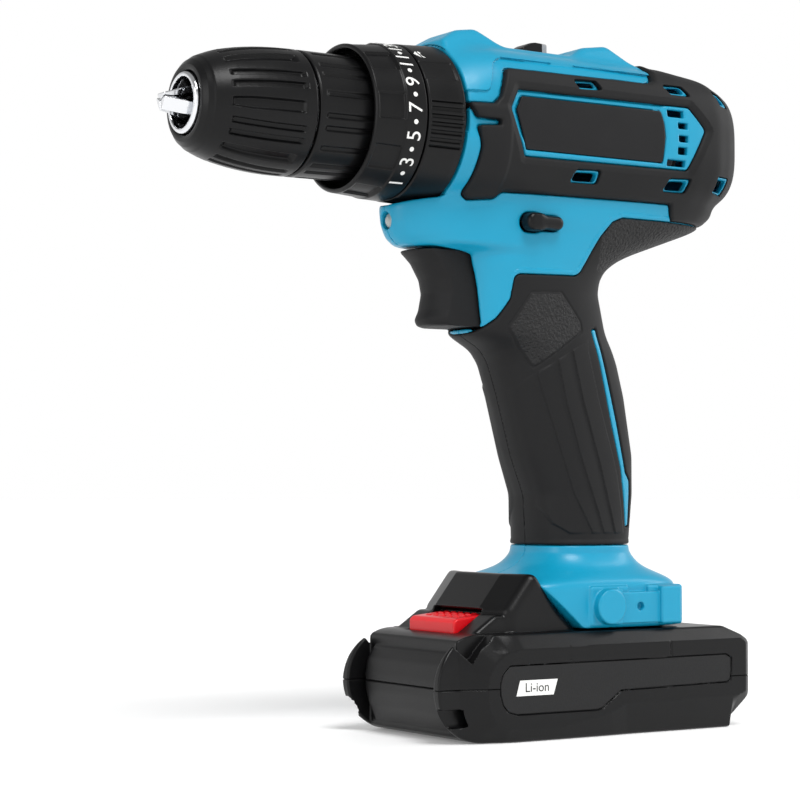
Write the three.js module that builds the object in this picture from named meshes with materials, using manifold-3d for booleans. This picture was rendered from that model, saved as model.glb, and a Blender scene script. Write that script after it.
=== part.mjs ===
// Cordless drill: keyless chuck, numbered clutch, two-stage planetary gearbox, motor, pistol grip and slide-on battery.
// Millimetres, +Z up, +X towards the chuck. The origin is on the ground under the middle of the drill.
// Every piece is drawn in the tool frame: x from the lip of the clutch bell, y to the tool's left, z from the ground.
// Pieces of the drive line are drawn round the x axis and lifted to the height of the spindle by their group.
import * as THREE from "three";
import { mergeVertices } from "three/addons/utils/BufferGeometryUtils.js";
import Module from "manifold-3d";

const wasm = await Module();
wasm.setup();

// Driving dimensions
const FRONT_REACH = 69.1; // from the bell lip to the tips of the jaws
const REAR_REACH = 170; // from the bell lip to the back of the motor housing
const SPINDLE_HEIGHT = 218;
const GAP = 0.3; // between neighbouring pieces
const HALF_GAP = GAP / 2;
const WALL = 3.6;
const SKIN = 1.6; // thickness of the rubber laid into the housing
const ROUND = 20; // sides of a large circle
const SMALL_ROUND = 12;
const PIN_ROUND = 8;

const LIP_X = (REAR_REACH - FRONT_REACH) / 2;

// ---------------------------------------------------------------- shapes

const MERGE_DISTANCE = 1e-4;

function signedVolume(position, index) {
  const [a, b, c] = [new THREE.Vector3(), new THREE.Vector3(), new THREE.Vector3()];
  let volume = 0;
  for (let i = 0; i < index.length; i += 3) {
    a.fromBufferAttribute(position, index[i]);
    b.fromBufferAttribute(position, index[i + 1]);
    c.fromBufferAttribute(position, index[i + 2]);
    volume += a.dot(b.cross(c));
  }
  return volume;
}

// A closed three.js geometry as a solid that can be joined and cut, with its faces turned outwards.
function solid(geometry) {
  const bare = geometry.clone();
  bare.deleteAttribute("normal");
  bare.deleteAttribute("uv");
  const merged = mergeVertices(bare, MERGE_DISTANCE);
  const { array } = merged.index;
  const inward = signedVolume(merged.attributes.position, array) < 0;
  const triangles = [];
  for (let i = 0; i < array.length; i += 3) {
    const [a, b, c] = [array[i], array[i + 1], array[i + 2]];
    const degenerate = a === b || b === c || c === a;
    if (!degenerate) triangles.push(...(inward ? [a, c, b] : [a, b, c]));
  }
  return new wasm.Manifold(
    new wasm.Mesh({
      numProp: 3,
      vertProperties: merged.attributes.position.array,
      triVerts: new Uint32Array(triangles),
    }),
  );
}

function geometryOf(body) {
  const { vertProperties, triVerts } = body.getMesh();
  const geometry = new THREE.BufferGeometry();
  geometry.setAttribute("position", new THREE.BufferAttribute(vertProperties, 3));
  geometry.setIndex(new THREE.BufferAttribute(triVerts, 1));
  const flat = geometry.toNonIndexed();
  flat.computeVertexNormals();
  return flat;
}

const join = (first, ...others) => others.reduce((whole, next) => whole.add(next), first);
const cut = (first, ...others) => others.reduce((whole, next) => whole.subtract(next), first);

function box([x0, y0, z0], [x1, y1, z1]) {
  const geometry = new THREE.BoxGeometry(x1 - x0, y1 - y0, z1 - z0);
  return solid(geometry.translate((x0 + x1) / 2, (y0 + y1) / 2, (z0 + z1) / 2));
}

// A box that lies the same distance to the left and right of the middle.
const block = (x0, x1, halfWidth, z0, z1) => box([x0, -halfWidth, z0], [x1, halfWidth, z1]);

function rodX(radius, x0, x1, sides = ROUND) {
  const geometry = new THREE.CylinderGeometry(radius, radius, x1 - x0, sides);
  return solid(geometry.rotateZ(-Math.PI / 2).translate((x0 + x1) / 2, 0, 0));
}

function rodY(radius, [x, z], y0, y1, sides = SMALL_ROUND) {
  const geometry = new THREE.CylinderGeometry(radius, radius, y1 - y0, sides);
  return solid(geometry.translate(x, (y0 + y1) / 2, z));
}

const tubeX = (outer, inner, x0, x1, sides = ROUND) =>
  cut(rodX(outer, x0, x1, sides), rodX(inner, x0 - 1, x1 + 1, sides));

// A body of revolution about the x axis: the profile is a list of [x, radius] that starts and ends on the axis
// or closes on itself.
function turnedX(profile, sides = ROUND) {
  const points = profile.map(([x, radius]) => new THREE.Vector2(radius, x));
  return solid(new THREE.LatheGeometry(points, sides).rotateZ(-Math.PI / 2));
}

// A side outline, a list of [x, z], given a thickness from y0 to y1.
function plate(outline, y0, y1, holes = []) {
  const toPoints = (list) => list.map(([x, z]) => new THREE.Vector2(x, z));
  const shape = new THREE.Shape(toPoints(outline));
  shape.holes = holes.map((hole) => new THREE.Path(toPoints(hole)));
  const geometry = new THREE.ExtrudeGeometry(shape, { depth: y1 - y0, bevelEnabled: false });
  return solid(geometry.rotateX(Math.PI / 2).translate(0, y1, 0));
}

// A front outline, a list of [y, z], given a length from x0 to x1.
function barX(outline, x0, x1, hole) {
  const toPoints = (list) => list.map(([y, z]) => new THREE.Vector2(y, z));
  const shape = new THREE.Shape(toPoints(outline));
  if (hole) shape.holes = [new THREE.Path(toPoints(hole))];
  const geometry = new THREE.ExtrudeGeometry(shape, { depth: x1 - x0, bevelEnabled: false });
  return solid(geometry.rotateX(Math.PI / 2).rotateZ(Math.PI / 2).translate(x0, 0, 0));
}

const squircle = (u, power) => Math.sign(u) * Math.abs(u) ** (2 / power);

// A smooth body through rounded sections. A section holds its place on the axis ("at"), the low and high side of
// its first and second direction, and the power of its rounding: 2 is an ellipse, more is squarer.
function loft(sections, sides, toPoint) {
  const rows = sections.length - 1;
  const geometry = new THREE.CylinderGeometry(1, 1, 1, sides, rows);
  const position = geometry.attributes.position;
  for (let i = 0; i < position.count; i++) {
    const section = sections[Math.round((0.5 - position.getY(i)) * rows)];
    const [low1, high1] = section.first;
    const [low2, high2] = section.second;
    const u = squircle(position.getX(i), section.power);
    const v = squircle(position.getZ(i), section.power);
    const first = (low1 + high1) / 2 + (u * (high1 - low1)) / 2;
    const second = (low2 + high2) / 2 + (v * (high2 - low2)) / 2;
    position.setXYZ(i, ...toPoint(section.at, first, second));
  }
  return solid(geometry);
}

// ---------------------------------------------------------------- materials and nodes

const PAINTS = {
  blue: { color: 0x2aa3dc, roughness: 0.45, metalness: 0 },
  rubber: { color: 0x2b2b2c, roughness: 0.75, metalness: 0 },
  black: { color: 0x161617, roughness: 0.4, metalness: 0 },
  red: { color: 0xe0202c, roughness: 0.4, metalness: 0 },
  steel: { color: 0x9a9a9c, roughness: 0.35, metalness: 1 },
  chrome: { color: 0xd8d8da, roughness: 0.15, metalness: 1 },
  copper: { color: 0xb87333, roughness: 0.4, metalness: 1 },
  board: { color: 0x1f6b3a, roughness: 0.5, metalness: 0 },
  cell: { color: 0x3f8f5a, roughness: 0.4, metalness: 0 },
  lens: { color: 0xe8f0f4, roughness: 0.1, metalness: 0 },
};

const drill = new THREE.Group();
const tool = new THREE.Group();
const driveLine = new THREE.Group();
tool.position.x = LIP_X;
driveLine.position.z = SPINDLE_HEIGHT;
tool.add(driveLine);
drill.add(tool);

function addTo(group, name, body, paint) {
  const mesh = new THREE.Mesh(geometryOf(body), new THREE.MeshStandardMaterial(PAINTS[paint]));
  mesh.name = name;
  group.add(mesh);
  return mesh;
}

const addPiece = (name, body, paint) => addTo(tool, name, body, paint);
const addDrivePiece = (name, body, paint) => addTo(driveLine, name, body, paint);

// ---------------------------------------------------------------- chuck

const JAW_COUNT = 3;
const JAW_TILT = THREE.MathUtils.degToRad(14); // between a jaw and the spindle axis
const JAW_RADIUS = 3.2;
const JAW_REAR_X = 37;
const JAW_FOCUS = { x: 66, radius: 3.3 }; // a point on the centre line of every jaw
const NUT = { x0: 29.5, x1: 36.5, inner: 16.2, outer: 18.9 };
const CHUCK_CORE = 19;
const SHANK_BORE = 6.3;
const RIB_COUNT = 6; // flutes of the sleeve

// A round rod along a jaw's slanting centre line, from one x to the other.
function jawRod(radius, x0, x1, sides) {
  const toLength = (x) => (x - JAW_FOCUS.x) / Math.cos(JAW_TILT);
  const rod = new THREE.CylinderGeometry(radius, radius, toLength(x1) - toLength(x0), sides);
  rod.translate(0, (toLength(x0) + toLength(x1)) / 2, 0);
  rod.rotateZ(-Math.PI / 2).rotateY(JAW_TILT);
  return solid(rod.translate(JAW_FOCUS.x, 0, JAW_FOCUS.radius));
}

// The jaw above the axis, ground to a 120 degree nose so that three of them close on each other.
function jaw() {
  const reach = 30;
  const half = Math.tan(Math.PI / JAW_COUNT) * reach;
  const wedge = [[0, HALF_GAP * 2], [half, reach], [-half, reach]];
  const rod = jawRod(JAW_RADIUS, JAW_REAR_X, FRONT_REACH + 2, 10);
  return rod.intersect(barX(wedge, 0, FRONT_REACH));
}

function chuckBody() {
  const outside = turnedX([
    [-7, 0], [-7, CHUCK_CORE - 1], [-6, CHUCK_CORE], [37, CHUCK_CORE], [45, 17.2], [54, 12.6], [57, 10.2],
    [60.4, 10.2], [61, 9.6], [61, 0],
  ]);
  const bores = [];
  for (let i = 0; i < JAW_COUNT; i++) {
    bores.push(jawRod(JAW_RADIUS + 2 * GAP, 8, FRONT_REACH + 4, 8).rotate([(360 / JAW_COUNT) * i, 0, 0]));
  }
  const groove = tubeX(CHUCK_CORE + 2, NUT.inner - GAP, NUT.x0 - GAP, NUT.x1 + GAP);
  const bitHole = rodX(6.6, 14.2, 62, SMALL_ROUND);
  return cut(outside, rodX(SHANK_BORE, -8, 15, SMALL_ROUND), bitHole, groove, ...bores);
}

function chuckSleeve() {
  const ring = turnedX([
    [61.5, 11], [62.3, 11.4], [61.5, 13], [58.5, 15], [54.5, 17], [48.6, 19.2], [42, 20.4], [35.2, 21.4],
    [28.2, 21.9], [20, 22], [20, CHUCK_CORE + GAP], [37.2, CHUCK_CORE + GAP], [45.2, 17.2 + GAP],
    [54.4, 12.9], [57.2, 10.7], [61.5, 11],
  ]);
  const ribs = [];
  for (let i = 0; i < RIB_COUNT; i++) {
    const angle = (360 / RIB_COUNT) * i;
    ribs.push(block(23, 50, 0.9, 21.2, 26).rotate([angle, 0, 0]));
  }
  return cut(ring, ...ribs);
}

function buildChuck() {
  addDrivePiece("chuck_body", chuckBody(), "chrome");
  addDrivePiece("chuck_sleeve", chuckSleeve(), "black");
  addDrivePiece("chuck_nut", tubeX(NUT.outer, NUT.inner, NUT.x0, NUT.x1), "steel");
  const rearRing = turnedX([
    [-7, CHUCK_CORE + GAP], [-7, 20.8], [-5, 21.8], [18.4, 22], [19.4, 21.4], [19.4, CHUCK_CORE + GAP],
    [-7, CHUCK_CORE + GAP],
  ]);
  addDrivePiece("chuck_rear_ring", rearRing, "black");
  for (let i = 0; i < JAW_COUNT; i++) {
    const mesh = addDrivePiece(`jaw_${i + 1}`, jaw(), "chrome");
    mesh.rotation.x = (2 * Math.PI * i) / JAW_COUNT;
  }
  const screw = join(rodX(3.6, 14.3, 17.5, PIN_ROUND), rodX(2.4, 2, 14.4, PIN_ROUND));
  addDrivePiece("chuck_screw", screw, "steel");
}

// ---------------------------------------------------------------- clutch

const BELL = { lip: 26.25, joint: 27.8, wall: 1.8, webFront: -8, webBack: -11, hole: 13.6 };
const MODE_RING = { front: -20.6, back: -35.7, outer: 28.1, rim: 28.8, inner: 25.4 };
const NOSE_TUBE = { outer: 13, inner: 10.9, front: -7.5 };

function torqueRing() {
  const inside = BELL.lip - BELL.wall;
  return turnedX([
    [0, inside], [0, BELL.lip - 0.6], [-0.7, BELL.lip], [-20.2, BELL.joint], [-20.2, inside], [BELL.webBack, inside],
    [BELL.webBack, BELL.hole], [BELL.webFront, BELL.hole], [BELL.webFront, inside], [0, inside],
  ]);
}

function modeRing() {
  const { front, back, outer, rim, inner } = MODE_RING;
  return turnedX([
    [front, inner], [front, outer - 0.3], [-21.4, outer], [-34, rim], [back, rim], [back, inner], [front, inner],
  ]);
}

// A round wire coiled round the x axis.
function coil(radius, wire, x0, x1, turns, stepsPerTurn) {
  class Helix extends THREE.Curve {
    getPoint(t, target = new THREE.Vector3()) {
      const angle = 2 * Math.PI * turns * t;
      return target.set(x0 + (x1 - x0) * t, radius * Math.cos(angle), radius * Math.sin(angle));
    }
  }
  const section = new THREE.Shape();
  section.absarc(0, 0, wire, 0, 2 * Math.PI);
  const geometry = new THREE.ExtrudeGeometry(section, {
    curveSegments: 3,
    steps: turns * stepsPerTurn,
    extrudePath: new Helix(),
  });
  return solid(geometry);
}

function buildClutch() {
  addDrivePiece("torque_ring", torqueRing(), "black");
  addDrivePiece("mode_ring", modeRing(), "black");
  addDrivePiece("clutch_spring", coil(17, 1, -34, -13, 4, 9), "steel");
}

// ---------------------------------------------------------------- gearbox

const MODULE = 1.2;
const SUN_TEETH = 9;
const PLANET_TEETH = 9;
const RING_TEETH = SUN_TEETH + 2 * PLANET_TEETH;
const PLANET_COUNT = 3;
const CENTRE_DISTANCE = (MODULE * (SUN_TEETH + PLANET_TEETH)) / 2;
const ADDENDUM = 0.72 * MODULE;
const DEDENDUM = 1.2 * MODULE;
const PIN_RADIUS = 1.7;
const RING_OUTER = 20.3;
const CASE_INNER = RING_OUTER + GAP;
const CASE_OUTER = 23.6;
const CASE_REAR = -79;
const FRONT_STAGE = { planetFront: -49.6, planetBack: -57, ringFront: -48.6, ringBack: -57.6, plate: -45 };
const REAR_STAGE = { planetFront: -64.4, planetBack: -72, ringFront: -63.6, ringBack: -73, plate: -59.8 };
const PLATE_THICKNESS = 3.6;

// The outline of a gear: each tooth has a root and a tip, narrower at the tip. A ring gear's teeth point inwards.
function gearOutline(teeth, inward = false) {
  const pitchRadius = (MODULE * teeth) / 2;
  const root = inward ? pitchRadius + DEDENDUM : pitchRadius - DEDENDUM;
  const tip = inward ? pitchRadius - ADDENDUM : pitchRadius + ADDENDUM;
  const pitch = (2 * Math.PI) / teeth;
  const [rootShare, tipShare] = inward ? [0.26, 0.1] : [0.27, 0.1];
  const corners = [[root, -rootShare], [tip, -tipShare], [tip, tipShare], [root, rootShare]];
  const outline = [];
  for (let tooth = 0; tooth < teeth; tooth++) {
    for (const [radius, share] of corners) {
      const angle = (tooth + (inward ? 0.5 : 0) + share) * pitch;
      outline.push([radius * Math.cos(angle), radius * Math.sin(angle)]);
    }
  }
  return outline;
}

const gear = (teeth, x0, x1) => barX(gearOutline(teeth), x0, x1);

const ringGear = (x0, x1) =>
  cut(rodX(RING_OUTER, x0, x1), barX(gearOutline(RING_TEETH, true), x0 - 1, x1 + 1));

// Places a piece at a planet's seat: seat 0 lies on the +Y side, in line with the first tooth of every gear.
function atSeat(body, seat) {
  return body.translate([0, CENTRE_DISTANCE, 0]).rotate([(360 / PLANET_COUNT) * seat, 0, 0]);
}

function planet({ planetFront, planetBack }) {
  const hole = rodX(PIN_RADIUS + GAP, planetBack - 1, planetFront + 1, PIN_ROUND);
  return cut(gear(PLANET_TEETH, planetBack, planetFront), hole);
}

function carrier({ plate: front, planetBack }) {
  const pieces = [rodX(14.2, front - PLATE_THICKNESS, front, SMALL_ROUND)];
  for (let seat = 0; seat < PLANET_COUNT; seat++) {
    pieces.push(atSeat(rodX(PIN_RADIUS, planetBack, front - 1, PIN_ROUND), seat));
  }
  return join(...pieces);
}

function gearboxCase() {
  const outside = turnedX([
    [NOSE_TUBE.front, 0], [NOSE_TUBE.front, NOSE_TUBE.outer], [-36.2, NOSE_TUBE.outer], [-36.2, 25], [-39.5, 25],
    [-39.5, CASE_OUTER], [CASE_REAR, CASE_OUTER], [CASE_REAR, 0],
  ]);
  return cut(outside, rodX(CASE_INNER, CASE_REAR - 1, -44.4), rodX(NOSE_TUBE.inner, -50, NOSE_TUBE.front + 1));
}

function buildGearbox() {
  addDrivePiece("gearbox_case", gearboxCase(), "steel");
  addDrivePiece("motor_mount_plate", tubeX(CASE_OUTER, 6.4, -83, CASE_REAR - GAP), "steel");
  addDrivePiece("spindle_bearing", tubeX(NOSE_TUBE.inner - GAP, SHANK_BORE, -33, -26), "steel");
  addDrivePiece("ring_gear_front", ringGear(FRONT_STAGE.ringBack, FRONT_STAGE.ringFront), "steel");
  addDrivePiece("ring_gear_rear", ringGear(REAR_STAGE.ringBack, REAR_STAGE.ringFront), "steel");
  const frontHole = rodX(SHANK_BORE, -49, -44, SMALL_ROUND);
  addDrivePiece("carrier_front", cut(carrier(FRONT_STAGE), frontHole), "steel");
  const secondSun = gear(SUN_TEETH, REAR_STAGE.plate - 1, FRONT_STAGE.planetFront);
  addDrivePiece("carrier_rear", join(carrier(REAR_STAGE), secondSun), "steel");
  for (const [stage, label] of [[FRONT_STAGE, "front"], [REAR_STAGE, "rear"]]) {
    for (let seat = 0; seat < PLANET_COUNT; seat++) {
      addDrivePiece(`planet_${label}_${seat + 1}`, atSeat(planet(stage), seat), "steel");
    }
  }
  const spindle = cut(
    rodX(SHANK_BORE - GAP, -48.6, 13.8, SMALL_ROUND),
    rodX(2.4 + GAP, 1, 15, PIN_ROUND),
  );
  addDrivePiece("spindle", spindle, "steel");
}

// ---------------------------------------------------------------- motor

const MOTOR = { front: -83.4, back: -138, radius: 17.9, wall: 1.4 };
const SHAFT_RADIUS = 1.6;
const ROTOR = { front: -90, back: -126, radius: 11.5 };
const PINION = { back: -76, front: -64.4 };
const SHAFT_BACK = -143;
const FAN = { back: -132.4, front: -128.6, radius: 13 };

function buildMotor() {
  const can = cut(
    rodX(MOTOR.radius, MOTOR.back, MOTOR.front),
    rodX(MOTOR.radius - MOTOR.wall, MOTOR.back - 1, MOTOR.front - 2),
    rodX(5, MOTOR.front - 3, MOTOR.front + 1, SMALL_ROUND),
  );
  addDrivePiece("motor_can", can, "steel");
  const capRadius = MOTOR.radius - MOTOR.wall - GAP;
  const endCap = tubeX(capRadius, SHAFT_RADIUS + GAP, MOTOR.back - 3, MOTOR.back + 4);
  addDrivePiece("motor_end_cap", endCap, "black");
  const slots = [];
  const SLOT_COUNT = 5;
  for (let i = 0; i < SLOT_COUNT; i++) {
    const slot = block(ROTOR.back - 1, ROTOR.front + 1, 1.2, 7, 14);
    slots.push(slot.rotate([(360 / SLOT_COUNT) * i, 0, 0]));
  }
  const core = cut(rodX(ROTOR.radius, ROTOR.back, ROTOR.front), ...slots);
  addDrivePiece("motor_rotor", join(core, rodX(SHAFT_RADIUS, SHAFT_BACK, PINION.front, PIN_ROUND)), "copper");
  const blades = [];
  const BLADE_COUNT = 8;
  for (let i = 0; i < BLADE_COUNT; i++) {
    const blade = block(FAN.back, FAN.front - 0.8, 0.5, 3, FAN.radius + 0.5);
    blades.push(blade.rotate([(360 / BLADE_COUNT) * i, 0, 0]));
  }
  const fanDisc = rodX(FAN.radius, FAN.front - 1, FAN.front);
  const fanHub = rodX(4, FAN.back, FAN.front, PIN_ROUND);
  const shaftHole = (x0, x1) => rodX(SHAFT_RADIUS + GAP, x0 - 1, x1 + 1, PIN_ROUND);
  const fan = cut(join(fanDisc, fanHub, ...blades), shaftHole(FAN.back, FAN.front));
  addDrivePiece("motor_fan", fan, "black");
  const pinion = cut(gear(SUN_TEETH, PINION.back, PINION.front), shaftHole(PINION.back, PINION.front));
  addDrivePiece("motor_pinion", pinion, "steel");
}

// ---------------------------------------------------------------- housing

// The motor barrel, drawn round the spindle: [x, half width, top, bottom, rounding]
const BARREL = [
  [-36.6, 28.8, 29, -28.8, 2], [-42, 29.6, 29.6, -28.4, 2.2], [-52, 30.2, 29.6, -27.6, 2.8],
  [-100, 30.2, 29.2, -27.4, 2.8], [-132, 30.2, 28.2, -27, 2.8], [-140, 30.2, 27.2, -27, 2.8],
  [-150, 29.4, 25.9, -25.8, 2.9], [-158, 26.2, 23.9, -23.8, 3], [-163.5, 22.2, 22, -21.6, 3.1],
  [-167.4, 18.2, 19, -18.6, 3.1], [-169.4, 14.2, 15.8, -15.6, 3], [-REAR_REACH, 11, 12.4, -12, 2.8],
];

// The handle, drawn upright: [z from the spindle, front x, rear x, half width, rounding]
const HANDLE = [
  [-12, -42, -160, 24, 3], [-26, -38, -163.5, 22.5, 3], [-32, -37, -155, 22, 2.9], [-37, -35, -140.5, 21, 2.8],
  [-43.5, -35, -121.5, 20.5, 2.7], [-44.5, -46, -119, 20.4, 2.7], [-49, -47, -112.2, 20, 2.7],
  [-53, -48, -109.8, 19.7, 2.6], [-58, -49, -108.9, 19.4, 2.6], [-71, -50, -112.5, 18.9, 2.5],
  [-74, -51, -113.6, 18.8, 2.5], [-79, -60.5, -116, 18.6, 2.5], [-84, -64.2, -118, 18.5, 2.5],
  [-96, -68.3, -121.2, 18.5, 2.5], [-118, -74.6, -124.6, 18.9, 2.5], [-132, -80.2, -123.6, 19.4, 2.6],
  [-152.5, -81.4, -120.9, 20, 2.6],
];

// The nose that holds the work light, below the clutch
const NOSE = [
  [-20, -30, -80, 15, 2.4], [-29.2, -19.4, -80, 14, 2.4], [-36, -20, -80, 13.4, 2.4],
  [-41, -22, -80, 12.4, 2.4], [-43.6, -26, -80, 10.5, 2.4],
];

// The foot that slides over the battery: [z from the ground, front x, rear x, half width, rounding]
const FOOT = [
  [67.2, -81.2, -121, 20.1, 2.6], [64, -80.6, -122, 20.3, 2.7], [60, -76.5, -125.5, 22.3, 2.8],
  [57.8, -71, -129.5, 25, 3], [56, -64.5, -133.4, 28.3, 3.4], [54, -59.6, -136, 30, 4], [38, -59.6, -136, 30.4, 5],
];
const SPINE = [
  [-36.6, 20], [-36.6, 30.1], [-44.6, 34.8], [-53.4, 36.2], [-59.4, 32.6], [-64, 29.6], [-93.6, 29.6],
  [-101.2, 34.2], [-113, 36.1], [-124.6, 28], [-124.6, 20],
];
const SPINE_HALF_WIDTH = 9;
const LABEL_WINDOW = [[-54.7, 4.3], [-57.8, 11.1], [-134.4, 11.9], [-143.3, 3.9], [-134.3, -11.4], [-60, -11.6]];
const LABEL = [[-58.4, 3.9], [-60.4, 8.4], [-123, 9.2], [-123, -8.8], [-62.6, -9]];
const PANEL_OUTLINE = [
  [-36.9, 5], [-47, 5], [-51.2, 17.8], [-116.5, 18.6], [-132, 18.6], [-132, 40], [-180, 40], [-180, -40],
  [-131, -40], [-131, -23.9], [-55.5, -24.3], [-53, -27], [-42.2, -26.4], [-43.4, -10], [-41, -2],
];
const GRIP_OUTLINE = [
  [-62, -55.5], [-90, -54], [-104, -30], [-130, -29.6], [-131, -26.5], [-180, -26.5], [-180, -150.5],
  [-70, -150.5], [-46, -84], [-52, -77.5], [-60, -71], [-63.5, -62],
];

function barrel(inset) {
  const sections = BARREL.map(([x, half, top, bottom, power]) => ({
    at: Math.max(x, inset - REAR_REACH),
    first: [-half + inset, half - inset],
    second: [bottom + inset, top - inset],
    power,
  }));
  return loft(sections, 20, (x, y, z) => [x, y, z]);
}

function upright(rows, inset, sides) {
  const sections = rows.map(([z, front, rear, half, power]) => ({
    at: z,
    first: [rear + inset, front - inset],
    second: [-half + inset, half - inset],
    power,
  }));
  return loft(sections, sides, (z, x, y) => [x, y, z]);
}

// Bosses for the four case screws: [x, z from the spindle, depth of the screw's head below the middle]
const SCREWS = [[-45, -36, 12], [-112, -36, 15], [-106, -96, 12], [-92, -138, 12]];
const BOSS_RADIUS = 4.2;
const SCREW = { head: 3, headThickness: 2.4, shank: 1.5, tip: 11 };

function lowered(body) {
  return body.translate([0, 0, -SPINDLE_HEIGHT]);
}

// Everything inside the closed housing that has to stay open, drawn from the spindle.
function housingHollow() {
  const motorRoom = barrel(WALL);
  const handleRoom = upright(HANDLE.slice(1), WALL, 10);
  const throat = block(-120.5, -82, 14, -165, -145);
  return join(motorRoom, handleRoom, throat);
}

const triggerRoom = () => block(-80, -10, 10.6, -72.4, -44);

// The pocket under the foot: a T shaped channel for the battery's rail, and the slanting front for its hump.
function batteryChannel() {
  const stem = block(-130.6, -20, 19.8, 30, 46);
  const head = block(-130.6, -20, 23.6, 44.6, 53);
  const humpSide = [[-20, 70], [-61, 60.6], [-63.4, 57.9], [-85.4, 37.5], [-85.4, 20], [-20, 20]];
  const humpRoom = plate(humpSide, -40, 40);
  const terminalSeat = block(-133.6, -130, 18.4, 39.6, 53);
  return lowered(join(stem, head, humpRoom, terminalSeat));
}

function clipMount() {
  const hole = rodY(1.6, [-110, 45.6], 28, 40, PIN_ROUND);
  const pad = block(-134, -88, 1, 39.4, 51.8).translate([0, 31, 0]).subtract(hole);
  const frontPost = rodY(6.2, [-94, 45.6], 28, 34.4);
  const rearPost = box([-134, 28, 39.4], [-121.4, 33.6, 51.6]);
  return lowered(join(pad, frontPost, box([-104, 28, 39.4], [-94, 34.4, 51.8]), rearPost));
}

function vents() {
  const cuts = [];
  for (const z of [7.4, 3.4, -0.6, -4.6, -8.6]) cuts.push(block(-134, -126, 40, z - 1.2, z + 1.2));
  for (const [x, z] of [[-87, 16], [-129, 16], [-88.5, -17.5], [-130, -17.5]]) {
    cuts.push(block(x - 5, x + 5, 40, z - 1.4, z + 1.4));
  }
  return cuts;
}

function openings() {
  const clutchRoom = rodX(MODE_RING.rim + 0.5, -36.4, 5);
  const shaftHole = rodX(CASE_OUTER + 1.6, -90, -30);
  const selectorSlot = block(-94.8, -74.6, 5.2, 22, 40);
  const buttonHole = box([-82.2, -40, -38.2], [-63.8, 40, -30.6]);
  const lensHole = rodX(4, -32, -10, SMALL_ROUND).translate([0, 0, -35]);
  return [clutchRoom, shaftHole, selectorSlot, buttonHole, lensHole, triggerRoom(), batteryChannel(), ...vents()];
}

function bosses() {
  return SCREWS.map(([x, z]) => rodY(BOSS_RADIUS, [x, z], -18, 18, PIN_ROUND));
}

function screwHoles() {
  return SCREWS.flatMap(([x, z, depth]) => [
    rodY(SCREW.head + 2 * GAP, [x, z], -40, -depth + SCREW.headThickness + GAP, PIN_ROUND),
    rodY(SCREW.shank + GAP, [x, z], -20, SCREW.tip + 1, PIN_ROUND),
  ]);
}

// The outline with every side moved outwards by a distance.
function widened(outline, distance) {
  const clockwise = THREE.ShapeUtils.isClockWise(outline.map(([x, z]) => new THREE.Vector2(x, z)));
  const out = clockwise ? -distance : distance;
  const normalOf = ([x0, z0], [x1, z1]) => {
    const length = Math.hypot(x1 - x0, z1 - z0);
    return [(z1 - z0) / length, (x0 - x1) / length];
  };
  return outline.map((corner, i) => {
    const before = normalOf(outline.at(i - 1), corner);
    const after = normalOf(corner, outline[(i + 1) % outline.length]);
    const share = out / (1 + before[0] * after[0] + before[1] * after[1]);
    return [corner[0] + share * (before[0] + after[0]), corner[1] + share * (before[1] + after[1])];
  });
}

const REACH = 60; // past either side of the housing
const sideCut = (outline, holes) => plate(outline, -REACH, REACH, holes);

// A rubber piece, as thick as the skin, and the pocket in the shell that it is laid into.
const skin = (outer, outline, holes) => outer(0).subtract(outer(SKIN)).intersect(sideCut(outline, holes));
const pocket = (outer, outline, holes = []) =>
  sideCut(widened(outline, GAP), holes.map((hole) => widened(hole, -GAP))).subtract(outer(SKIN + GAP));

const leftHalf = () => box([-200, HALF_GAP, -260], [100, 60, 60]);
const rightHalf = () => box([-200, -60, -260], [100, -HALF_GAP, 60]);

const grip = (inset) => upright(HANDLE, inset, 14);

function housingShell() {
  const outside = join(
    barrel(0),
    grip(0),
    upright(NOSE, 0, 12),
    lowered(upright(FOOT, 0, 16)),
    plate(SPINE, -SPINE_HALF_WIDTH, SPINE_HALF_WIDTH),
  );
  const bossed = bosses().map((boss) => boss.intersect(grip(SKIN + GAP)));
  return cut(
    join(cut(outside, housingHollow()), ...bossed),
    pocket(barrel, PANEL_OUTLINE, [LABEL_WINDOW]).intersect(barrel(-1)),
    pocket(grip, GRIP_OUTLINE).intersect(grip(-1)),
    pocket(barrel, LABEL),
    ...openings(),
    ...screwHoles(),
  );
}

function buildHousing() {
  const shell = housingShell();
  const lift = (body, half) => body.intersect(half).translate([0, 0, SPINDLE_HEIGHT]);
  addPiece("housing_left", lift(shell.add(clipMount()), leftHalf()), "blue");
  addPiece("housing_right", lift(shell, rightHalf()), "blue");
  const panel = cut(skin(barrel, PANEL_OUTLINE, [LABEL_WINDOW]), ...vents(), grip(-GAP));
  const rubberGrip = cut(skin(grip, GRIP_OUTLINE), barrel(-GAP), ...screwHoles());
  const label = skin(barrel, LABEL);
  for (const [side, half] of [["left", leftHalf()], ["right", rightHalf()]]) {
    addPiece(`overmould_${side}`, lift(panel, half), "rubber");
    addPiece(`grip_${side}`, lift(rubberGrip, half), "rubber");
    addPiece(`label_panel_${side}`, lift(label, half), "black");
  }
}

// ---------------------------------------------------------------- controls

const TRIGGER_HALF_WIDTH = 9.8;

function trigger() {
  const front = [
    [-26.5, -44.6], [-31, -49], [-34.6, -55], [-35.8, -60], [-34.8, -66], [-33.6, -69.6], [-36, -71.6],
  ];
  const rear = [[-61, -71.6], [-63.5, -68], [-63.5, -44.6]];
  const lever = plate([...front, ...rear], -TRIGGER_HALF_WIDTH, TRIGGER_HALF_WIDTH);
  const plunger = block(-69, -63, 3, -60, -54);
  return join(lever, plunger);
}

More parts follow.
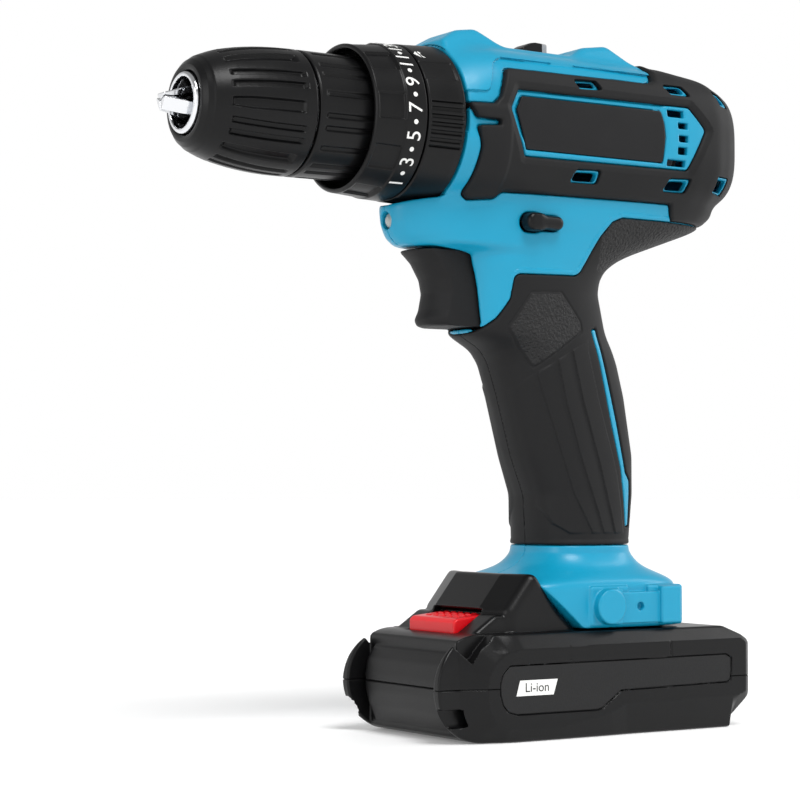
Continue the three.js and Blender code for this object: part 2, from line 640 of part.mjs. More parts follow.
function directionButton() {
  const width = 25.6;
  const bar = block(-81.4, -64.6, width, -37.4, -31.4);
  const notch = [block(-90, -73, 30, -33.4, -31), block(-90, -73, 30, -38, -35.4)];
  const ends = notch.map((body) => cut(body, block(-95, -70, 21.6, -40, -30)));
  return cut(bar, ...ends);
}

function speedSelector() {
  const outline = [[-75.4, 31.6], [-78, 34.4], [-86.8, 34.8], [-88.4, 31.6], [-88.4, 24], [-75.4, 24]];
  const knob = plate(outline, -4.6, 4.6);
  const foot = block(-90.4, -75.4, 6.6, 23.9, 24.8);
  return join(knob, foot);
}

function buildControls() {
  addDrivePiece("trigger", trigger(), "black");
  const plungerHole = block(-80, -69.3, 3.3, -60.3, -53.7);
  const switchBody = block(-99, -80.6, 9, -78, -47);
  const switchNose = cut(block(-80.8, -78.6, 6, -62, -52), plungerHole);
  addDrivePiece("trigger_switch", join(switchBody, switchNose), "black");
  addDrivePiece("direction_button", directionButton(), "black");
  addDrivePiece("speed_selector", speedSelector(), "black");
  const lens = join(rodX(3.7, -28, -19.4, SMALL_ROUND), rodX(2.4, -31, -27, SMALL_ROUND));
  addDrivePiece("work_light_lens", lens.translate([0, 0, -35]), "lens");
  const board = join(block(-115, -99, 8, -132, -110), block(-111, -103, 8, -110.4, -106));
  addDrivePiece("control_board", board, "board");
}

function screw(depth) {
  const head = rodY(SCREW.head, [0, 0], -depth, -depth + SCREW.headThickness);
  return join(head, rodY(SCREW.shank, [0, 0], -depth + 1, SCREW.tip, PIN_ROUND));
}

function buildScrews() {
  SCREWS.forEach(([x, z, depth], i) => {
    const mesh = addDrivePiece(`case_screw_${i + 1}`, screw(depth), "steel");
    mesh.position.set(x, 0, z);
  });
}

// ---------------------------------------------------------------- battery

const PACK = { halfWidth: 36, top: 37.2, split: 18.7, nose: -41, rear: -158.8, wall: 2.6 };
const CELL = { count: 5, radius: 9.2, length: 65, pitch: 19, first: -57.5, height: 12.4 };

// The side outline of the pack: round at the front, chamfered at the back.
function packOutline(inset) {
  const radius = PACK.top / 2;
  const outline = [];
  const ARC_STEPS = 8;
  for (let i = 0; i <= ARC_STEPS; i++) {
    const angle = -Math.PI / 2 + (Math.PI * i) / ARC_STEPS;
    const reach = radius - inset;
    outline.push([PACK.nose + reach * Math.cos(angle), radius + reach * Math.sin(angle)]);
  }
  const rear = PACK.rear + inset;
  outline.push([-148, PACK.top - inset], [rear, 32 - inset], [rear, 11 + inset], [-150.6 + inset, inset]);
  return outline;
}

function pack() {
  const sides = plate(packOutline(0), -PACK.halfWidth, PACK.halfWidth);
  const frontBlock = plate([[-26.8, 9], [-26.8, 27], [-50, 43.6], [-62, 43.6], [-62, 9]], -25.5, 25.5);
  const humpSide = [[-50, 30], [-50, 44.6], [-60.6, 57.6], [-62.6, 57.6], [-84.8, 37.4], [-84.8, 30]];
  const hump = plate(humpSide, -27, 27);
  const rail = join(block(-129.8, -62, 19.4, 30, 46), block(-129.8, -62, 23.2, 45.2, 52.4));
  const railFront = plate([[-130, 30], [-84.4, 37.3], [-62, 57.6], [-62, 60], [-130, 60]], -40, 40);
  return join(sides, frontBlock, hump, rail.intersect(railFront.add(hump)));
}

function packHollow() {
  const inside = PACK.halfWidth - PACK.wall;
  const low = block(-147, -45.6, inside, PACK.wall, 28);
  const high = block(-147, -57, inside, 27, PACK.top - PACK.wall);
  const nose = plate(packOutline(PACK.wall), -22, 22).intersect(block(-60, -20, 22, 0, 28));
  const railRoom = block(-126, -66, 16.4, 30, 44);
  return join(low, high, nose, railRoom);
}

function buttonPocket() {
  return plate([[-38.6, 31], [-38.6, 46], [-54.2, 47.6], [-54.2, 31]], -15.2, 15.2);
}

function terminalSlots() {
  return [-12, 0, 12].map((y) => block(-131, -108, 1, 45, 53).translate([0, y, 0]));
}

function buildBattery() {
  const whole = cut(pack(), packHollow(), buttonPocket(), ...terminalSlots());
  const lower = box([-200, -60, -1], [0, 60, PACK.split - HALF_GAP]);
  const upper = box([-200, -60, PACK.split + HALF_GAP], [0, 60, 70]);
  addPiece("battery_tray", whole.intersect(lower), "black");
  addPiece("battery_cover", whole.intersect(upper), "black");
  for (let i = 0; i < CELL.count; i++) {
    const x = CELL.first - CELL.pitch * i;
    const cell = rodY(CELL.radius, [x, CELL.height], -CELL.length / 2, CELL.length / 2, 16);
    addPiece(`cell_${i + 1}`, cell, "cell");
  }
  addPiece("battery_board", block(-144, -62, 27, 24, 25.6), "board");
  const button = plate([[-39.4, 36.4], [-39.4, 41.2], [-41, 42], [-53.6, 43.2], [-53.6, 36.4]], -14.6, 14.6);
  addPiece("release_button", join(button, block(-50, -44, 4, 35, 36.6)), "red");
  const spring = coil(2.4, 0.4, 0, 2.4, 2, 8).rotate([0, -90, 0]).translate([-47, 0, 31.9]);
  addPiece("release_spring", spring, "steel");
}

function buildTerminals() {
  const body = block(-133.3, -131, 18, 40, 52.6);
  const blades = [-12, 0, 12].map((y) => block(-131.4, -112, 0.5, 45.8, 50).translate([0, y, 0]));
  addPiece("terminal_block", join(body, ...blades), "copper");
}

buildChuck();
buildClutch();
buildGearbox();
buildMotor();
buildHousing();
buildControls();
buildScrews();
buildBattery();
buildTerminals();

export default drill;
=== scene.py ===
"""Cordless drill: smooth shells, rubber, chuck, clutch and battery pack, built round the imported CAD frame.

Shapes are written in millimetres in the tool frame: x from the lip of the clutch bell towards the chuck,
y to the tool's left and z up from the spindle. The pack's shapes use z from the ground.
Moulded pieces are signed distance fields turned into meshes; turned pieces are grids round the spindle.
"""

from functools import partial, reduce
from math import ceil, cos, hypot, pi, radians, sin

import bpy
import numpy as np
import openvdb
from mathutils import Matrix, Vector


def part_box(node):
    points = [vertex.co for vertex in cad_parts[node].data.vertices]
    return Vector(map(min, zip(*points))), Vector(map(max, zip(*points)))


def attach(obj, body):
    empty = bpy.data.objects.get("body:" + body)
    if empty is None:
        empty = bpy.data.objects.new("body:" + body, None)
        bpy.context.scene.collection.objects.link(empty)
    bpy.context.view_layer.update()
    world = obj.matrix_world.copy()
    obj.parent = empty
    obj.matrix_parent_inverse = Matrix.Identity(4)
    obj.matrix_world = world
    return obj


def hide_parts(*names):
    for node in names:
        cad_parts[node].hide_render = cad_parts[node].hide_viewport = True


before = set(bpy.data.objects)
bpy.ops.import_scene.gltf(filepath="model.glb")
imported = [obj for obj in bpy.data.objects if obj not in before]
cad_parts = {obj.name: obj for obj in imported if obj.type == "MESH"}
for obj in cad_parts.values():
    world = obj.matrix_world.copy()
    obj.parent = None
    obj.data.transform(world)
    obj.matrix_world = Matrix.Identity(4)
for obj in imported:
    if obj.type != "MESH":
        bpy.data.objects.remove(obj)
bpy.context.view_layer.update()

MM = 0.001
LIP_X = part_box("torque_ring")[1].x / MM
AXIS_Z = (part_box("chuck_sleeve")[0].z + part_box("chuck_sleeve")[1].z) / 2 / MM

# ---- fields


def union(*fields):
    return reduce(np.minimum, fields)


def common(*fields):
    return reduce(np.maximum, fields)


def smooth_union(a, b, k):
    blend = np.maximum(k - np.abs(a - b), 0)
    return np.minimum(a, b) - blend * blend / (4 * k)


def smooth_common(a, b, k):
    return -smooth_union(-a, -b, k)


def smooth_cut(a, b, k):
    return -smooth_union(-a, b, k)


def step(value, low, high):
    """0 below low, 1 above high, smooth between."""
    t = np.clip((value - low) / (high - low), 0, 1)
    return t * t * (3 - 2 * t)


def box_field(x, y, z, low, high, radius=0.0):
    """A box with rounded edges."""
    parts = []
    for value, a, b in ((x, low[0], high[0]), (y, low[1], high[1]), (z, low[2], high[2])):
        parts.append(np.abs(value - (a + b) / 2) - ((b - a) / 2 - radius))
    outside = np.sqrt(sum(np.maximum(p, 0) ** 2 for p in parts))
    return outside + np.minimum(common(parts[0], parts[1], parts[2]), 0) - radius


def rod_field(u, v, t, centre, radius, low, high):
    """A rod along t round centre (u, v), with slightly rounded ends."""
    side = np.hypot(u - centre[0], v - centre[1]) - radius
    return smooth_common(side, np.maximum(low - t, t - high), 0.3)


class Outline:
    """Signed distance to a closed outline, below 0 inside, sampled on a grid and optionally softened."""

    MARGIN = 9.0
    STEP = 0.25

    def __init__(self, points, soften=0.0):
        corners = np.array(points, float)
        self.low = corners.min(0) - self.MARGIN
        counts = np.ceil((corners.max(0) + self.MARGIN - self.low) / self.STEP).astype(int) + 1
        u = (self.low[0] + self.STEP * np.arange(counts[0]))[:, None]
        v = (self.low[1] + self.STEP * np.arange(counts[1]))[None, :]
        nearest = np.full(counts, 1e9)
        inside = np.zeros(counts, bool)
        for (u0, v0), (u1, v1) in zip(corners, np.roll(corners, -1, 0)):
            du, dv = u1 - u0, v1 - v0
            along = np.clip(((u - u0) * du + (v - v0) * dv) / (du * du + dv * dv), 0, 1)
            nearest = np.minimum(nearest, (u - u0 - along * du) ** 2 + (v - v0 - along * dv) ** 2)
            if dv:
                inside ^= ((v0 > v) != (v1 > v)) & (u < u0 + (v - v0) * du / dv)
        field = np.where(inside, -1, 1) * np.sqrt(nearest)
        width = int(round(soften / self.STEP))
        for _ in range(2):
            if width:
                field = self._blurred(self._blurred(field, width).T, width).T
        self.field = field.astype(np.float32)

    @staticmethod
    def _blurred(field, width):
        padded = np.pad(field, ((width + 1, width), (0, 0)), mode="edge")
        total = np.cumsum(padded, 0)
        return (total[2 * width + 1:] - total[:-2 * width - 1]) / (2 * width + 1)

    def __call__(self, u, v):
        a = np.clip((u - self.low[0]) / self.STEP, 0, self.field.shape[0] - 1.001)
        b = np.clip((v - self.low[1]) / self.STEP, 0, self.field.shape[1] - 1.001)
        i, j = a.astype(np.int32), b.astype(np.int32)
        fa, fb = (a - i).astype(np.float32), (b - j).astype(np.float32)
        f = self.field
        lower = f[i, j] * (1 - fa) + f[i + 1, j] * fa
        upper = f[i, j + 1] * (1 - fa) + f[i + 1, j + 1] * fa
        return lower * (1 - fb) + upper * fb


class Loft:
    """A bar of rounded rectangles along t.

    Rows: [t, first low, first high, second low, second high, power of the corners].
    """

    STEP = 0.25
    SOFTEN = 5

    def __init__(self, rows):
        rows = np.array(sorted(rows), float)
        self.low, self.high = rows[0, 0], rows[-1, 0]
        t = np.arange(self.low, self.high + self.STEP, self.STEP)
        columns = []
        kernel = np.ones(2 * self.SOFTEN + 1) / (2 * self.SOFTEN + 1)
        for c in range(1, 6):
            column = np.interp(t, rows[:, 0], rows[:, c])
            for _ in range(2):
                padded = np.pad(column, self.SOFTEN, mode="reflect", reflect_type="odd")
                column = np.convolve(padded, kernel, mode="valid")
            columns.append(column)
        a0, a1, b0, b1, power = columns
        table = [(a0 + a1) / 2, (a1 - a0) / 2, (b0 + b1) / 2, (b1 - b0) / 2, power]
        slopes = [np.gradient(table[1], self.STEP), np.gradient(table[3], self.STEP)]
        self.table = np.array(table + slopes, np.float32)

    def __call__(self, t, u, v):
        place = np.clip((t - self.low) / self.STEP, 0, self.table.shape[1] - 1.001)
        i = place.astype(np.int32)
        share = (place - i).astype(np.float32)
        uc, a, vc, b, power, da, db = (row[i] * (1 - share) + row[i + 1] * share for row in self.table)
        su = np.maximum(np.abs(u - uc) / a, 1e-4)
        sv = np.maximum(np.abs(v - vc) / b, 1e-4)
        pu, pv = su ** power, sv ** power
        r = (pu + pv) ** (1 / power)
        scale = r / (pu + pv)
        gu, gv = scale * pu / su / a, scale * pv / sv / b
        gt = scale * (pu * da / a + pv * db / b)
        side = (r - 1) / np.sqrt(gu * gu + gv * gv + gt * gt)
        return smooth_common(side, np.maximum(self.low - t, t - self.high), 0.8)


BLOCK = 8  # voxels along one block of the fine grid
HALF_DIAGONAL = 0.87  # of a block, in its own sizes
REACH = 1.5  # how much further than its half diagonal a block looks for the surface
BATCH = 1200  # blocks worked out at a time
PROBE = 0.02  # size of the tetrahedron that measures slopes
LONGEST_MOVE = 0.6  # of one correction towards the surface, in voxels


def fine_values(field, low, counts, voxel):
    """Values of the field on a grid, worked out only in the blocks near its surface."""
    size = voxel * BLOCK
    centres = [low[i] + size * (np.arange(counts[i]) + 0.5) for i in range(3)]
    cx, cy, cz = (m.astype(np.float32) for m in np.meshgrid(*centres, indexing="ij"))
    rough = field(cx, cy, cz)
    near = np.argwhere(np.abs(rough) < size * HALF_DIAGONAL * REACH)
    values = np.repeat(np.repeat(np.repeat(np.sign(rough), BLOCK, 0), BLOCK, 1), BLOCK, 2).astype(np.float32)
    inner = np.stack(np.meshgrid(*[np.arange(BLOCK)] * 3, indexing="ij"), -1).reshape(-1, 3)
    for part in np.array_split(near, max(1, len(near) // BATCH)):
        cells = (part[:, None, :] * BLOCK + inner[None]).reshape(-1, 3)
        p = (low + voxel * cells).astype(np.float32)
        values[cells[:, 0], cells[:, 1], cells[:, 2]] = field(p[:, 0], p[:, 1], p[:, 2])
    return values


def gradient(field, p):
    """Value and gradient by differences at the corners of a small tetrahedron."""
    reach = np.float32(PROBE)
    total = np.zeros_like(p)
    value = np.zeros(len(p), np.float32)
    for corner in ((1, -1, -1), (-1, -1, 1), (-1, 1, -1), (1, 1, 1)):
        corner = np.array(corner, np.float32)
        q = p + reach * corner
        sample = field(q[:, 0], q[:, 1], q[:, 2])
        total += sample[:, None] * corner
        value += sample / 4
    return value, total / (4 * reach)


def polygonised(field, low, high, voxel):
    """Points, normals and quads of the zero level, with every point moved onto the true surface."""
    low = np.array(low, float)
    counts = np.ceil((np.array(high) - low) / (voxel * BLOCK)).astype(int)
    values = fine_values(field, low, counts, voxel)
    grid = openvdb.FloatGrid(background=1.0)
    grid.copyFromArray(values)
    points, quads = grid.convertToQuads(isovalue=0.0)
    p = (low + voxel * points).astype(np.float32)
    for _ in range(3):
        value, slope = gradient(field, p)
        length = np.maximum((slope * slope).sum(1), 0.05)
        move = -(value / length)[:, None] * slope
        p = p + np.clip(move, -LONGEST_MOVE * voxel, LONGEST_MOVE * voxel)
    _, slope = gradient(field, p)
    normals = slope / np.maximum(np.linalg.norm(slope, axis=1), 1e-6)[:, None]
    return p, normals, quads


# ---- meshes and materials


def add_object(name, data, body, slot):
    made = bpy.data.objects.new(name, data)
    bpy.context.scene.collection.objects.link(made)
    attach(made, body)
    return made


def origin_of(body):
    """Where a body's shapes are measured from: the pack's from the ground, the others from the spindle."""
    return (LIP_X, 0, 0 if body in ("battery", "release_button") else AXIS_Z)


def add_mesh(name, points, quads, body, node, slot, materials, normals=None, face_material=None):
    """A mesh of tool-frame points, riding on a CAD body and standing for a CAD node."""
    origin = origin_of(body)
    world = (np.asarray(points, float) + origin) * MM
    a, b, c, d = (world[quads[:, i]] for i in range(4))
    volume = np.einsum("ij,ij->i", a, np.cross(b, c)).sum() + np.einsum("ij,ij->i", a, np.cross(c, d)).sum()
    if volume < 0:
        quads = quads[:, ::-1]
    mesh = bpy.data.meshes.new(name)
    mesh.vertices.add(len(world))
    mesh.vertices.foreach_set("co", world.astype(np.float32).ravel())
    mesh.loops.add(quads.size)
    mesh.loops.foreach_set("vertex_index", quads.astype(np.int32).ravel())
    mesh.polygons.add(len(quads))
    mesh.polygons.foreach_set("loop_start", np.arange(0, quads.size, 4, dtype=np.int32))
    mesh.polygons.foreach_set("loop_total", np.full(len(quads), 4, np.int32))
    mesh.update(calc_edges=True)
    mesh.validate()
    mesh.shade_smooth()
    if normals is not None and len(normals) == len(mesh.vertices):
        mesh.normals_split_custom_set_from_vertices(normals.tolist())
    for material in materials:
        mesh.materials.append(material)
    if face_material is not None:
        centres = np.zeros(len(mesh.polygons) * 3, np.float32)
        mesh.polygons.foreach_get("center", centres)
        local = centres.reshape(-1, 3) / MM - origin
        mesh.polygons.foreach_set("material_index", face_material(*local.T).astype(np.int32))
    made = add_object(name, mesh, body, slot)
    if node:
        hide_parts(node)


def moulded(name, field, low, high, voxel, body, node, slot, materials, **options):
    """A piece whose surface is the zero level of a field between two corners."""
    voxel = voxel
    points, normals, quads = polygonised(field, low, high, voxel)
    add_mesh(name, points, quads, body, node, slot, materials, normals=normals, **options)


def right_side(field):
    return lambda x, y, z: field(x, -y, z)


def moulded_pair(name, fields, low, high, voxels, body, node, slot, materials, right_reach=None, **options):
    """A left piece and its mirrored right one. Both fields are for the left, {} is the side's name."""
    right_low = (low[0], -(right_reach or high[1]), low[2])
    right_high = (high[0], -low[1], high[2])
    sides = (("left", fields[0], low, high), ("right", right_side(fields[1]), right_low, right_high))
    for (side, field, start, end), voxel in zip(sides, voxels):
        side_node = node and node.format(side)
        moulded(name.format(side), field, start, end, voxel, body, side_node, slot, materials, **options)


def closed_grid(rows):
    """Points and quads of rings of points, the last ring joined to the first."""
    count = len(rows[0])
    quads = []
    ring = np.arange(count)
    for i in range(len(rows)):
        a, b = i * count, ((i + 1) % len(rows)) * count
        quads.append(np.stack([a + ring, a + (ring + 1) % count, b + (ring + 1) % count, b + ring], 1))
    return np.concatenate(rows), np.concatenate(quads)


def dense(points, spacing):
    """A line with points added so that no two are further apart than the spacing."""
    out = []
    for (x0, r0), (x1, r1) in zip(points, points[1:]):
        n = max(1, int(ceil(hypot(x1 - x0, r1 - r0) / spacing)))
        for i in range(n):
            t = i / n
            out.append((x0 + (x1 - x0) * t, r0 + (r1 - r0) * t))
    return out + [points[-1]]


def turned(name, outer, inner, spacing, radius, around, body, node, material):
    """A closed profile turned round the spindle; radius(x, angle, r) shapes its outer line."""
    angle = np.arange(around) * (2 * np.pi / around)
    rows = []
    for line, shape in ((dense(outer, spacing), radius), (inner, lambda x, angle, r: r)):
        for x, r in line:
            ring = shape(np.full(around, x), angle, np.full(around, float(r)))
            rows.append(np.stack([np.full(around, x), ring * np.cos(angle), ring * np.sin(angle)], 1))
    points, quads = closed_grid(rows)
    add_mesh(name, points, quads, body, node, "black_plastic", [material])


def set_inputs(node, values):
    for name, value in values.items():
        node.inputs[name].default_value = value


class Paint:
    """A material made of noise-driven colour, roughness and relief."""

    CLOUDS = (60.0, 3.0)  # scale and detail of the slow change of colour and roughness

    def __init__(self, name, colour, roughness, metallic=0.0, relief=0.0, grain=400.0, coat=0.0, specular=0.5,
                 variation=0.08, roughness_swing=0.08, detail=4.0, depth=0.0002):
        self.material = bpy.data.materials.new(name)
        self.material.use_nodes = True
        self.nodes = self.material.node_tree.nodes
        self.links = self.material.node_tree.links
        self.shader = self.nodes["Principled BSDF"]
        set_inputs(self.shader, {"Metallic": metallic, "Coat Weight": coat, "Specular IOR Level": specular})
        self.place = self.nodes.new("ShaderNodeTexCoord")
        coarse = self.noise(*self.CLOUDS)
        fine = self.noise(grain, detail)
        self.blend_colour(coarse, colour, variation)
        self.swing(coarse, roughness, roughness_swing)
        if relief:
            bump = self.nodes.new("ShaderNodeBump")
            set_inputs(bump, {"Strength": relief, "Distance": depth})
            self.links.new(fine.outputs["Fac"], bump.inputs["Height"])
            self.links.new(bump.outputs["Normal"], self.shader.inputs["Normal"])

    def noise(self, scale, detail):
        node = self.nodes.new("ShaderNodeTexNoise")
        set_inputs(node, {"Scale": scale, "Detail": detail})
        self.links.new(self.place.outputs["Object"], node.inputs["Vector"])
        return node

    def blend_colour(self, noise, colour, variation):
        mix = self.nodes.new("ShaderNodeMix")
        mix.data_type = "RGBA"
        dark = (*[c * (1 - variation) for c in colour], 1)
        light = (*[min(1, c * (1 + variation)) for c in colour], 1)
        set_inputs(mix, {"A": dark, "B": light})
        self.links.new(noise.outputs["Fac"], mix.inputs["Factor"])
        self.links.new(mix.outputs["Result"], self.shader.inputs["Base Color"])

    def swing(self, noise, roughness, amount):
        reach = self.nodes.new("ShaderNodeMapRange")
        set_inputs(reach, {"To Min": max(0.0, roughness - amount), "To Max": min(1.0, roughness + amount)})
        self.links.new(noise.outputs["Fac"], reach.inputs["Value"])
        self.links.new(reach.outputs["Result"], self.shader.inputs["Roughness"])


def paint(*args, **options):
    return Paint(*args, **options).material


BLUE = paint("blue_plastic", (0.002, 0.275, 0.450), 0.36, relief=0.10, grain=1500, coat=0.04, specular=0.4,
             variation=0.03, roughness_swing=0.04)
RUBBER = paint("dark_rubber", (0.0075, 0.0075, 0.008), 0.58, relief=0.16, grain=1800, specular=0.22,
               variation=0.10)
RUBBER_GRAINED = paint("grained_rubber", (0.009, 0.009, 0.0095), 0.60, relief=1.0, grain=900, specular=0.34,
                       variation=0.25, detail=1.0, depth=0.0012)
LABEL = paint("label_plastic", (0.006, 0.006, 0.0068), 0.40, relief=0.12, grain=2200, specular=0.24,
              variation=0.08)
BLACK = paint("black_plastic", (0.003, 0.003, 0.0033), 0.34, relief=0.10, grain=1600, specular=0.22,
              variation=0.10)
PACK_BLACK = paint("pack_plastic", (0.0032, 0.0032, 0.0035), 0.33, relief=0.14, grain=1400, specular=0.24,
                   variation=0.10)
PACK_MATT = paint("pack_matt", (0.011, 0.011, 0.0115), 0.52, relief=0.35, grain=1500, specular=0.26,
                  variation=0.10)
RED = paint("red_plastic", (0.68, 0.004, 0.010), 0.32, relief=0.06, grain=1500, specular=0.4, variation=0.04)
GREY = paint("grey_plastic", (0.30, 0.30, 0.31), 0.45, relief=0.10, grain=1600, variation=0.05)
CHROME = paint("chrome", (0.78, 0.79, 0.81), 0.12, metallic=1.0, variation=0.03, roughness_swing=0.04)
STEEL = paint("steel", (0.52, 0.53, 0.55), 0.32, metallic=1.0, relief=0.05, variation=0.06)
COPPER = paint("copper_iron", (0.55, 0.29, 0.16), 0.38, metallic=1.0, relief=0.10, variation=0.15)
BRASS = paint("contact_metal", (0.72, 0.55, 0.27), 0.30, metallic=1.0, variation=0.08)
BOARD = paint("circuit_board", (0.02, 0.16, 0.07), 0.40, relief=0.10, variation=0.15)
WRAP = paint("cell_wrap", (0.07, 0.33, 0.22), 0.35, variation=0.06)
WHITE = paint("print_white", (0.80, 0.80, 0.78), 0.45, variation=0.02)
LENS = paint("lens_clear", (0.34, 0.37, 0.36), 0.10, coat=0.5, variation=0.02)
DARK_PRINT = paint("print_dark", (0.01, 0.01, 0.01), 0.45, variation=0.02)
# painted shade: a near-black metal for the faces inside the chuck's mouth, where shade falls in the bore
CHUCK_PAINTED_SHADE = paint("chuck_inside", (0.010, 0.010, 0.011), 0.45, metallic=0.6, variation=0.10)

# ---- the housing

BARREL = Loft([
    [x, -half, half, bottom, top, power] for x, half, top, bottom, power in (
        (-36.6, 28.8, 29, -28.8, 2), (-42, 29.6, 29.6, -28.4, 2.2), (-52, 30.2, 29.6, -27.6, 2.8),
        (-100, 30.2, 29.2, -27.4, 2.8), (-132, 30.2, 28.2, -27, 2.8), (-140, 30.2, 27.2, -27, 2.8),
        (-150, 29.4, 25.9, -25.8, 2.9), (-158, 26.2, 23.9, -23.8, 3), (-163.5, 22.2, 22, -21.6, 3.1),
        (-167.4, 18.2, 19, -18.6, 3.1), (-169.4, 14.2, 15.8, -15.6, 3), (-170, 11, 12.4, -12, 2.8))
])
HANDLE = Loft([
    [z, rear, front, -half, half, power] for z, front, rear, half, power in (
        (-12, -42, -160, 24, 3), (-26, -38, -163.5, 22.5, 3), (-32, -37, -155, 22, 2.9),
        (-37, -35, -140.5, 21, 2.8), (-43.5, -35, -121.5, 20.5, 2.7), (-44.5, -46, -119, 20.4, 2.7),
        (-49, -47, -112.2, 20, 2.7),
        (-53, -48, -109.8, 19.7, 2.6), (-58, -49, -108.9, 19.4, 2.6), (-71, -50, -112.5, 18.9, 2.5),
        (-74, -51, -113.6, 18.8, 2.5), (-79, -60.5, -116, 18.6, 2.5), (-84, -64.2, -118, 18.5, 2.5),
        (-96, -68.3, -121.2, 18.5, 2.5), (-118, -74.6, -124.6, 18.9, 2.5), (-132, -80.2, -123.6, 19.4, 2.6),
        (-152.5, -81.4, -120.9, 20, 2.6))
])
NOSE = Loft([
    [z, rear, front, -half, half, 2.4] for z, front, rear, half in (
        (-18, -30, -80, 16), (-20, -28, -80, 15), (-29.2, -19.4, -80, 14), (-36, -20, -80, 13.4),
        (-41, -22, -80, 12.4), (-43.9, -26, -80, 10.5))
])
FOOT = Loft([
    [z - AXIS_Z, rear, front, -half, half, power] for z, front, rear, half, power in (
        (68.4, -81.3, -120.9, 20.0, 2.6), (67.2, -81.2, -121, 20.1, 2.6), (64, -80.6, -122, 20.3, 2.7),
        (60, -76.5, -125.5, 22.3, 2.8), (57.8, -71, -129.5, 25, 3), (56, -64.5, -133.4, 28.3, 3.4),
        (54, -59.6, -136, 30, 4), (38, -59.6, -136, 30.4, 5))
])
SPINE = Outline([
    (-36.6, 10), (-36.6, 30.1), (-44.6, 34.8), (-53.4, 36.2), (-59.4, 32.6), (-64, 29.6), (-93.6, 29.6),
    (-101.2, 34.2), (-113, 36.1), (-124.6, 28), (-126, 10),
], soften=0.9)
PANEL = Outline([
    (-36.9, 5.2), (-47, 5.4), (-49.6, 8), (-53.2, 18.2), (-54.9, 19), (-118.5, 19.7), (-121.5, 21),
    (-124.6, 25.4), (-125.4, 40), (-180, 40), (-180, -29.8), (-133.6, -29.8), (-131.5, -23.8), (-56, -24.2),
    (-53.5, -26.6), (-44.3, -27.3), (-42.1, -25.6), (-42.6, -9.9), (-40.5, -2.8), (-49.3, -2.2),
    (-49.3, -0.2), (-40.2, 0),
], soften=0.5)
PANEL_OUTER = Outline([
    (-36.9, 5.2), (-47, 5.4), (-49.6, 8), (-53.2, 18.2), (-54.9, 19), (-180, 20), (-180, -30),
    (-44.3, -27.3), (-42.1, -25.6), (-42.6, -9.9), (-40.2, 0),
], soften=1.0)
HEX = Outline([
    (-54.1, 4.5), (-57.6, 11.4), (-135.6, 12), (-143.3, 3.8), (-134.9, -11.8), (-60.6, -12.1),
], soften=0.4)
LABEL_OUTLINE = Outline([
    (-56.4, 4.2), (-58.9, 9.3), (-122.2, 9.6), (-123.6, 5), (-124.2, 0), (-123.2, -9.8), (-61, -9.7),
], soften=0.3)
GRIP = Outline([
    (-63.6, -54.2), (-65.3, -53), (-90, -52.6), (-92.4, -51.2), (-100.2, -38.2), (-105.2, -32.2),
    (-109.6, -30.4), (-180, -30.2), (-180, -150.5), (-60, -150.5), (-30, -78), (-45, -77),
    (-51.6, -74.9), (-58.3, -68.9), (-62.6, -62.1),
], soften=0.5)
PAD = Outline([
    (-70.1, -59.4), (-83.3, -58.8), (-92.5, -69.2), (-93.3, -72.4), (-73.6, -86.2), (-61.8, -72.2),
], soften=0.4)
STRIPE = Outline([
    (-98.8, -71.9), (-101.4, -71), (-106, -88), (-110.6, -106), (-114.6, -124), (-117.2, -127),
    (-116.2, -144), (-113.8, -144), (-111.6, -123), (-107.4, -106.5), (-102.3, -84),
], soften=0.3)
WINDOWS = [
    Outline([(-82.6, 17.2), (-92.5, 17.6), (-94.6, 14.8), (-84.4, 14.4)], soften=0.4),
    Outline([(-84, -15.2), (-94.4, -14.9), (-94.2, -19.2), (-82.4, -19.4)], soften=0.4),
    Outline([(-124.7, 19.4), (-133.9, 19.7), (-136.7, 16.4), (-127.4, 16.4)], soften=0.4),
    Outline([(-127.2, -15.3), (-136.8, -14.9), (-135.9, -19.5), (-125.4, -19.6)], soften=0.4),
    Outline([(-150.2, 19.8), (-154.8, 19), (-158.2, 14.4), (-153, 14.9)], soften=0.3),
    Outline([(-150.8, -12.8), (-158, -12.8), (-156.2, -18.6), (-149.9, -18.4)], soften=0.3),
]
SLOTS = [
    (-132.7, -125.4, 7.9, 10.1), (-134.4, -130.2, 3.8, 5.6), (-134.6, -130.6, -1.1, 0.9),
    (-134.2, -130.2, -5.8, -3.5), (-133.6, -125.4, -10.3, -8.4),
]
RIDGES = [
    [(-66.8, -96.3), (-73.5, -116.3), (-78, -131), (-83.5, -142.8), (-88.1, -146.2)],
    [(-75, -89.1), (-81.8, -108.1), (-90, -132.5), (-96.4, -145.5)],
    [(-82.8, -84.5), (-86.4, -99.2), (-93.3, -121.4), (-99.3, -138.5), (-101.6, -145.6)],
    [(-88.8, -79.8), (-93.8, -99), (-100.3, -119.8), (-106.8, -145.2)],
]


def spine(x, y, z):
    flank = np.abs(y) - 8.6 - 0.55 * np.maximum(36.4 - z, 0)
    return smooth_common(SPINE(x, z), flank, 2.2)


def body_field(x, y, z):
    """The drill's whole outside, as one smooth solid."""
    d = smooth_union(BARREL(x, y, z), HANDLE(z, x, y), 4.5)
    d = smooth_union(d, NOSE(z, x, y), 4.0)
    d = smooth_union(d, FOOT(z, x, y), 1.2)
    return smooth_union(d, spine(x, y, z), 3.0)


